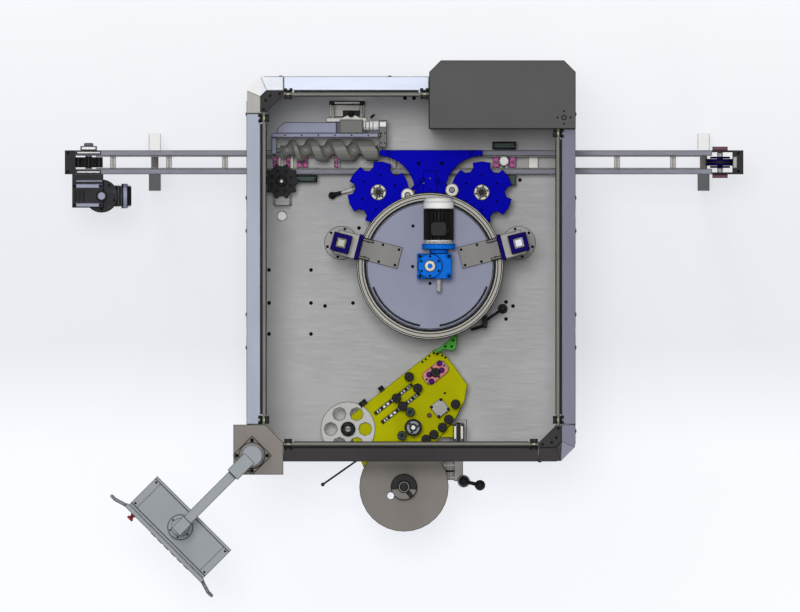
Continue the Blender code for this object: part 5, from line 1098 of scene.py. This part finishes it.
def label_details():
    """Slots, rollers, screws, drive pulleys and peeler tip, in the label plate's own frame."""
    bm = bmesh.new()
    for v in SLOT_LINES:
        add_box(bm, 0.1835, 0.4675, v - 0.0088, v + 0.0088, PLATE_LOW + 0.001, PLATE_TOP - 0.003, 0, LABEL_PLACE)
        for u in SLOT_BLOCKS:
            add_box(bm, u - 0.0075, u + 0.0075, v - 0.0092, v + 0.0092, PLATE_LOW + 0.002, PLATE_TOP - 0.0012,
                    1, LABEL_PLACE)
        add_bolts(bm, on_label(*((u, v) for u in SLOT_PINS)), PLATE_TOP - 0.0035, 0.0055, 1, 0.35)
    finished("slot_pins", bm, "white black", "label_unit")

    bm = bmesh.new()
    for pair in LABEL_ROLLERS:
        for spot in on_label(pair):
            turned(bm, spot, ROLLER_TOP, ROLLER, 20, int(pair in GREEN_ROLLERS))
            add_bolts(bm, [spot], ROLLER_TOP - 0.0012, 0.0065, 2, 0.5)
    finished("roller_caps", bm, "black green_black graphite", "label_unit")

    bm = bmesh.new()
    add_bolts(bm, on_label(*PLATE_SCREWS), PLATE_TOP - 0.0005, 0.0068)
    for u, v, wide, deep in PLATE_BLOCKS:
        add_box(bm, u - wide / 2, u + wide / 2, v - deep / 2, v + deep / 2, PLATE_LOW, PLATE_TOP + 0.022,
                0, LABEL_PLACE)
        spots = on_label((u - 0.25 * wide, v + 0.003), (u + 0.25 * wide, v + 0.003))
        add_bolts(bm, spots, PLATE_TOP + 0.0215, 0.0055, 1)
    for spot in on_label(*MOTOR_SCREWS):
        turned(bm, spot, PLATE_TOP, ((9.5, 58), (9.5, 63), (6, 65), (0, 65)), 14)
    for spot in on_label(PLATE_STUD):
        turned(bm, spot, PLATE_TOP, ((14, -1), (14, 18), (11, 21), (0, 21)), 18, 2)
    finished("plate_fasteners", bm, "black graphite maroon", "label_unit")

    bm = bmesh.new()
    for spot in on_label(*DRIVE_PULLEYS):
        turned(bm, spot, LABEL_TOP, PULLEY, 20)
    for spot in on_label(DRIVE_MIDDLE):
        turned(bm, spot, LABEL_TOP, PULLEY_HUB, 28, 1)
    for u in (0.547, 0.697):
        add_box(bm, u - 0.0035, u + 0.0035, -0.083, -0.033, LABEL_TOP + 0.0290, LABEL_TOP + 0.0330, 2, LABEL_PLACE)
    add_bolts(bm, on_label(*DRIVE_SCREWS), LABEL_TOP + 0.0295, 0.0062, 3)
    finished("drive_pulleys", bm, "purple graphite steel_light black", "label_unit", 0.0004)

    bm = bmesh.new()
    add_prism(bm, PEELER_WEDGE, LABEL_TOP + 0.020, LABEL_TOP + 0.110, 0, LABEL_PLACE)
    add_box(bm, 0.868, 0.878, 0.044, 0.052, LABEL_TOP + 0.015, LABEL_TOP + 0.116, 1, LABEL_PLACE)
    add_bolts(bm, on_label(*PEELER_SCREWS), LABEL_TOP + 0.1190, 0.0075, 2)
    finished("peeler_tip", bm, "maroon white black", "label_unit", 0.0005)


BRAKE_RADIUS = 0.0775
BRAKE_HUB = 0.034


def reel_details():
    """The rewinder's slotted hub and the unwinder's braked hub."""
    bm = bmesh.new()
    x, y = LABEL_ORIGIN.x, LABEL_ORIGIN.y
    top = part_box("rewind_reel")[1].z
    hub_top = top - 0.020
    turned(bm, (x, y), hub_top, ((43, -4), (43, 1), (40, 3), (21, 3), (19.5, -1)), 32)
    turned(bm, (x, y), top, ((18.8, -4), (18.8, 0.6), (17, 2.2), (0, 2.2)), 24, 1)
    add_box(bm, x - 0.015, x + 0.015, y - 0.002, y + 0.002, top + 0.0018, top + 0.0030)
    add_bolts(bm, ring_of((x, y), 0.031, 3, 40), hub_top + 0.0022, 0.0050, 2)
    finished("rewind_hub", bm, "black steel_mid graphite", "rewind_reel")

    bm = bmesh.new()
    spot, top = middle_of("unwind_reel")
    hub_top = top - 0.020
    first, last, steps = 192, 348, 9
    half_step = (last - first) / steps / 2
    outline = arc(spot, BRAKE_RADIUS, last - 360, first, 16)
    outline += arc(spot, BRAKE_HUB, first + half_step, last - half_step, steps - 1)
    add_prism(bm, outline, hub_top - 0.001, hub_top + 0.004)
    turn = Matrix.Translation((*spot, 0)) @ Matrix.Rotation(math.radians(-52), 4, "Z")
    add_box(bm, 0.010, 0.076, -0.013, 0.013, hub_top - 0.001, hub_top + 0.0045, 0, turn)
    turned(bm, spot, hub_top, ((36, 0), (36, 8), (33, 10), (0, 10)), 28, 1)
    turned(bm, spot, top, ((26, -10), (26, 1), (22, 4), (0, 4)), 24)
    finished("unwind_hub", bm, "graphite black", "unwind_reel", 0.0004)


def feed_roller_details():
    """The feed roller's face: a dark rim, a grey disc and a pale centre that is a painted highlight on the disc."""
    spot, high_z = middle_of("feed_roller")
    top = high_z - 0.010
    bm = bmesh.new()
    turned(bm, spot, top, ((52.5, -10), (52.5, 1), (50, 2.5), (41, 2.5), (40, -1)), 32)
    turned(bm, spot, top, ((39.5, -2), (39.5, 1), (37, 2), (24, 2), (22.5, 0)), 32, 1)
    # The white centre disc is a painted highlight on the glassy grey disc
    turned(bm, spot, high_z, ((15, -2), (15, 1), (12, 2), (0, 2)), 20, 2)
    add_bolts(bm, ring_of(spot, 0.031, 3, 15), top + 0.0016, 0.0055)
    finished("feed_roller_face", bm, "black panel_grey white", "feed_roller")


# Infeed screw drive, slide and stop star

BEAM_MIDDLE_Y = 1.156654
BAR_WIDTH = 0.025
BAR_EDGE = 0.007
STOP_STAR_Y = 0.881154
CABLE_GLAND = ((367, 121), (371, 117.5), (374.5, 114.5))
GLAND_Z = 1.190


def infeed_details():
    """Marks on the slide's bar and the end plate, the cable gland, and the stop star's centre with a black disc low
    in the star as painted shade in its holes.
    """
    bm = bmesh.new()
    low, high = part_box("screw_slide")
    bar_low, top = high.y - BAR_WIDTH, high.z
    edges = (bar_low, bar_low + BAR_EDGE, high.y - BAR_EDGE, high.y)
    for y0, y1, look_index in zip(edges, edges[1:], (0, 1, 0)):
        add_box(bm, low.x, high.x, y0, y1, top - 0.001, top + 0.0015, look_index)
    for x0, x1 in ((low.x, low.x + 0.030), (high.x - 0.030, high.x)):
        add_box(bm, x0, x1, edges[1], edges[2], top - 0.001, top + 0.0017)
    finished("slide_bar_trim", bm, "black white", "base")

    bm = bmesh.new()
    low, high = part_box("screw_beam")
    x0, x1 = high.x - 0.047, high.x
    top = high.z - 0.050
    add_box(bm, x0 + 0.002, x1 - 0.002, 1.206, 1.240, top - 0.001, top + 0.003)
    add_bolts(bm, [(x, y) for y in (1.110, 1.170) for x in (x0 + 0.012, x1 - 0.012)], top - 0.0005, 0.0048, 1)
    add_bolts(bm, [(low.x + 0.08 + 0.1 * k, BEAM_MIDDLE_Y) for k in range(6)], high.z - 0.0008, 0.0050, 1)
    finished("screw_end_trim", bm, "white black", "screw_unit")

    bm = bmesh.new()
    root, middle, tip = (px(*pixel) for pixel in CABLE_GLAND)
    z = GLAND_Z
    add_rod(bm, (*root, z - 0.016), (*middle, z - 0.004), 0.0060, 12)
    add_rod(bm, (*middle, z - 0.004), (*tip, z), 0.0085, 12, 1, 0.0065)
    finished("drive_cable_gland", bm, "steel_light black", "screw_unit")

    bm = bmesh.new()
    low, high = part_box("stop_star")
    spot = ((low.x + high.x) / 2, STOP_STAR_Y)
    # A black disc low inside the stop star shows through its holes: painted shade in the holes
    add_prism(bm, ring_of(spot, 0.072, 32), low.z + 0.001, low.z + 0.004, 1)
    turned(bm, spot, high.z, ((10, -1), (10, 2), (8, 3), (0, 3)), 18)
    turned(bm, spot, high.z, ((15.5, -1), (15.5, 1.2), (10.2, 1.2)), 24, 1)
    add_bolts(bm, ring_of(spot, 0.0235, 4, 30), high.z - 0.0006, 0.0048, 1)
    finished("stop_star_centre", bm, "white black", "stop_star")


# Conveyor ends

RAIL_END = -1.818
GEARBOX_SIDES = 24


def conveyor_details():
    """Ribs and flange rings of the conveyor's drive, and the marks on its two ends."""
    recoloured("drive_sprocket", "black steel_light", wheel_rule, "drive_sprocket")
    recoloured("idler_wheel", "navy steel_light", wheel_rule, "idler_wheel")
    low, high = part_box("conveyor_gearbox")
    motor_low, motor_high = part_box("conveyor_motor")
    axis_y = (motor_low.y + motor_high.y) / 2
    axis_z = (motor_low.z + motor_high.z) / 2
    body_top = axis_z + 0.100
    drum_top = axis_z + 0.085
    drum = (low.x + 0.176, axis_y)
    bm = bmesh.new()
    for y, half in ((high.y - 0.040, 0.006), (high.y - 0.070, 0.013), (high.y - 0.184, 0.012)):
        add_box(bm, low.x + 0.022, low.x + 0.182, y - half, y + half, body_top - 0.001, body_top + 0.004, 3)
    for x in (low.x + 0.016, low.x + 0.040, low.x + 0.064):
        add_box(bm, x, x + 0.010, high.y - 0.158, high.y - 0.100, body_top - 0.001, body_top + 0.003, 1)
    corners = [(x, y) for x in (low.x + 0.012, low.x + 0.170) for y in (high.y - 0.070, high.y - 0.184)]
    add_bolts(bm, corners, body_top + 0.0032, 0.0085)
    add_rod(bm, (*drum, drum_top - 0.001), (*drum, body_top + 0.006), 0.024, GEARBOX_SIDES, 3)
    add_rod(bm, (*drum, drum_top - 0.001), (*drum, body_top + 0.003), 0.034, GEARBOX_SIDES)
    for k, spot in enumerate(ring_of(drum, 0.080, 10, -90)):
        add_bolts(bm, [spot], drum_top - 0.0005, 0.0080, 3 if k % 2 else 1)
    for k in range(4):
        x = high.x - 0.062 + 0.014 * k
        add_rod(bm, (x, axis_y, axis_z), (x + 0.005, axis_y, axis_z), 0.067, 28, 3 if k % 2 else 0)
    finished("gearbox_trim", bm, "black graphite steel_mid head_blue_grey", "base", 0.0005)

    bm = bmesh.new()
    add_rod(bm, (motor_low.x + 0.010, axis_y, axis_z), (motor_low.x + 0.036, axis_y, axis_z), 0.0742, 32, 1)
    for k in range(3):
        x = motor_low.x + 0.037 + 0.008 * k
        add_rod(bm, (x, axis_y, axis_z), (x + 0.004, axis_y, axis_z), 0.0705 - 0.004 * k, 32)
    finished("motor_ribs", bm, "graphite head_blue_grey", "base", 0.0004)

    bm = bmesh.new()
    low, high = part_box("drive_end_block")
    for y0, y1 in ((low.y + 0.002, LINE_Y - 0.0465), (LINE_Y + 0.0465, high.y - 0.002)):
        add_box(bm, high.x + 0.001, RAIL_END, y0, y1, TRANSFER - 0.001, TRANSFER + 0.0008)
        add_box(bm, high.x + 0.007, RAIL_END - 0.006, y0 + 0.007, y1 - 0.007, TRANSFER, TRANSFER + 0.0014, 2)
    add_bolts(bm, [(low.x + 0.018, low.y + 0.016), (low.x + 0.018, high.y - 0.016)], TRANSFER - 0.0008, 0.0075)
    (x, _), _ = middle_of("drive_sprocket")
    add_box(bm, x - 0.042, x + 0.042, LINE_Y + 0.0755, LINE_Y + 0.094, axis_z + 0.049, axis_z + 0.054, 2)
    add_rod(bm, (x, LINE_Y + 0.113, axis_z), (x, LINE_Y + 0.116, axis_z), 0.020, 20, 1)
    low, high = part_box("idler_end_block")
    add_bolts(bm, [(high.x - 0.030, low.y + 0.040), (high.x - 0.030, high.y - 0.040)], high.z - 0.0008, 0.0090)
    x = high.x - 0.062
    add_box(bm, x, x + 0.024, LINE_Y - 0.034, LINE_Y + 0.034, high.z - 0.001, high.z + 0.0008, 1)
    finished("end_block_screws", bm, "graphite steel_mid white", "base")

    bm = bmesh.new()
    low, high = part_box("idler_wheel")
    x, z = (low.x + high.x) / 2, (low.z + high.z) / 2
    for y in (LINE_Y - 0.034, LINE_Y + 0.022):
        add_rod(bm, (x, y, z), (x, y + 0.012, z), 0.060, 28)
    add_rod(bm, (x, LINE_Y - 0.006, z), (x, LINE_Y + 0.006, z), 0.0895, 36, 1)
    finished("idler_rings", bm, "navy black", "idler_wheel", 0.0006)


# Operator panel

HMI_MIDDLE = Vector((-1.342628, -1.195628, 0))
HMI_TURN = -45
HMI_ARM_TURN = 225
HMI_FRONT = -0.1473
HMI_BUTTONS_U = -0.250
BOX_CORNERS = ((-0.292, 0.088), (0.292, 0.088), (-0.292, -0.088), (0.292, -0.088))
HMI_MOUNT = (LEFT + 0.030, FRONT + 0.033)


def operator_details():
    """Screen, keys and fixings of the operator panel, and the bolts and collar of its arm."""
    low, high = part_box("hmi_panel")
    turn = Matrix.Translation(HMI_MIDDLE) @ Matrix.Rotation(math.radians(HMI_TURN), 4, "Z")
    middle_z = (low.z + 0.010 + high.z + 0.005) / 2
    bm = bmesh.new()
    add_box(bm, -0.112, 0.212, HMI_FRONT + 0.0032, HMI_FRONT + 0.0040, middle_z - 0.097, middle_z + 0.127, 0, turn)
    add_box(bm, -0.106, 0.206, HMI_FRONT + 0.0026, HMI_FRONT + 0.0034, middle_z - 0.091, middle_z + 0.121, 1, turn)
    for k in range(3):
        z = middle_z - 0.010 - 0.060 * k
        back = turn @ Vector((HMI_BUTTONS_U, HMI_FRONT + 0.002, z))
        add_rod(bm, turn @ Vector((HMI_BUTTONS_U, HMI_FRONT - 0.009, z)), back, 0.0135, 20, k + 2)
        add_rod(bm, turn @ Vector((HMI_BUTTONS_U, HMI_FRONT - 0.004, z)), back, 0.0175, 20, 5)
    for k in range(6):
        u = -0.100 + 0.055 * k
        add_box(bm, u, u + 0.036, HMI_FRONT - 0.003, HMI_FRONT + 0.001, middle_z - 0.168, middle_z - 0.144, 5, turn)
    finished("operator_controls", bm, "black screen green white button_yellow graphite", "hmi", 0.0006)

    bm = bmesh.new()
    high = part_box("hmi_box")[1]
    top = high.z - 0.015
    add_bolts(bm, placed(turn, BOX_CORNERS), top - 0.0006, 0.0070)
    for v0, v1 in ((-0.104, -0.099), (0.099, 0.104)):
        add_box(bm, -0.312, 0.312, v0, v1, top - 0.001, top + 0.0010, 0, turn)
    for u in (-0.267, 0.267):
        add_box(bm, u - 0.0025, u + 0.0025, -0.099, 0.099, top - 0.001, top + 0.0010, 1, turn)
    add_bolts(bm, placed(turn, ring_of((0, 0), 0.062, 6)), high.z - 0.0006, 0.0060)
    finished("operator_box_trim", bm, "graphite steel_mid", "hmi", 0.0004)

    bm = bmesh.new()
    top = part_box("hmi_mount")[1].z
    add_bolts(bm, ring_of(HMI_MOUNT, 0.092, 4), top - 0.0205, 0.0110)
    turned(bm, HMI_MOUNT, top, ((79, -20), (79, -4), (76.5, -3)), 36)
    finished("mount_bolts", bm, "black", "base")

    bm = bmesh.new()
    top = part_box("hmi_arm")[1].z
    turned(bm, HMI_MOUNT, top, ((66.5, -30), (66.5, -8), (61, -0.4), (0, -0.4)), 40)
    arm = Matrix.Translation((*HMI_MOUNT, 0)) @ Matrix.Rotation(math.radians(HMI_ARM_TURN), 4, "Z")
    add_box(bm, 0.1652, 0.1700, -0.0315, 0.0315, top - 0.075, top - 0.0085, 1, arm)
    finished("arm_collar", bm, "panel_grey graphite", "hmi_arm", 0.0005)


# Wiping brush, label stand, base and windows

def brush_details():
    """Rows of bristles on the wiping brush."""
    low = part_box("wipe_brush")[0]
    bm = bmesh.new()
    x = low.x + 0.083
    for k in range(9):
        for row in range(6):
            y = low.y + 0.020 + 0.009 * k
            z = TRANSFER + 0.035 + 0.016 * row
            add_rod(bm, (x + 0.016, y, z), (x - 0.020, y + 0.004, z), 0.0022, 6, k % 2)
    finished("brush_bristles", bm, "graphite black", "base")


STAND_X, STAND_Y = 0.327, -0.627
STAND_DRUM_Z = 0.880


def stand_details():
    """The label stand's clamp plate, and the rings of its drum."""
    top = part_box("label_stand")[1].z
    bm = bmesh.new()
    for half_x, half_y, z0, z1, look_index in ((0.029, 0.056, -0.001, 0.003, 0), (0.012, 0.0565, 0.0025, 0.0045, 1)):
        add_box(bm, STAND_X - half_x, STAND_X + half_x, STAND_Y - half_y, STAND_Y + half_y, top + z0, top + z1,
                look_index)
    corners = [(STAND_X + dx, STAND_Y + dy) for dy in (-0.045, 0.045) for dx in (-0.021, 0.021)]
    add_bolts(bm, corners, top + 0.0026, 0.0055, 1)
    x = STAND_X - 0.054
    for k, look_index in enumerate((2, 1, 2)):
        y = FRONT - 0.020 - 0.036 * k
        add_rod(bm, (x, y, STAND_DRUM_Z), (x, y - 0.010, STAND_DRUM_Z), 0.0515, 32, look_index)
    finished("stand_trim", bm, "steel_light black white", "base", 0.0005)


FOOT_TOP = 0.108
PANEL_LOW, PANEL_HIGH = 0.215, 0.825
PANEL_PROUD = 0.003
LATCH = 0.004


def base_details():
    """Sheet panels with latches round the base, and bright feet."""
    recoloured("base_frame", "frame_paint steel_mid", lambda face: int(face.center.z < FOOT_TOP),
               "base")
    panels = [(side, FRONT + 0.10 + 0.70 * k, 0.66) for k in range(3) for side in ("left", "right")]
    panels += [(side, LEFT + 0.10 + 0.90 * k, 0.86) for k in range(2) for side in ("front", "rear")]
    bm = bmesh.new()
    for side, first, length in panels:
        guard_strip(bm, side, -PANEL_PROUD, 0.0005, first, first + length, PANEL_LOW, PANEL_HIGH)
    finished("base_panels", bm, "panel_paint", "base", 0.0015)

    bm = bmesh.new()
    z = PANEL_HIGH - 0.060
    for side, first, length in panels:
        for share in (0.12, 0.88):
            seat, face, end = (
                (*guard_place(side, -PANEL_PROUD - out, first + length * share), z) for out in (0, LATCH, LATCH * 1.5)
            )
            add_rod(bm, seat, face, 0.012, 20)
            add_rod(bm, face, end, 0.006, 6, 1)
    finished("base_latches", bm, "steel_light black", "base", 0.0005)


SEAL_WIDTH = 0.014
SEAL_PROUD = 0.0022


def window_seals():
    """Black rubber round each door's window."""
    for side in SIDES:
        low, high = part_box("window_" + side)
        first, last = run_of(side, "window_" + side)
        bm = bmesh.new()
        for a0, a1, z0, z1 in (
            (first - SEAL_WIDTH, last + SEAL_WIDTH, low.z - SEAL_WIDTH, low.z),
            (first - SEAL_WIDTH, last + SEAL_WIDTH, high.z, high.z + SEAL_WIDTH),
            (first - SEAL_WIDTH, first, low.z, high.z),
            (last, last + SEAL_WIDTH, low.z, high.z),
        ):
            guard_strip(bm, side, -SEAL_PROUD, SEAL_PROUD, a0, a1, z0, z1)
        finished("window_seal_" + side, bm, "black", "door_" + side, 0.0008)


DRUM_Z = 1.094


def screw_hub():
    """The grooved drum of the infeed screw's drive."""
    bm = bmesh.new()
    y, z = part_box("screw_drive")[0].y + 0.044, DRUM_Z
    for k in range(3):
        x = -0.232 + 0.022 * k
        add_rod(bm, (x, y, z), (x + 0.004, y, z), 0.0280, 28)
    finished("drum_grooves", bm, "graphite", "screw_unit")


dressed_copies()
head_motor()
head_details()
arm_webs()
column_bolts()
ring_lines()
star_hubs()
table_holes()
guide_clamps()
guide_rails()
sensors()
clamp_lever()
guide_rollers()
guard_trim()
cabinet_trim()
column_covers()
label_details()
reel_details()
feed_roller_details()
infeed_details()
conveyor_details()
operator_details()
brush_details()
stand_details()
base_details()
window_seals()
screw_hub()
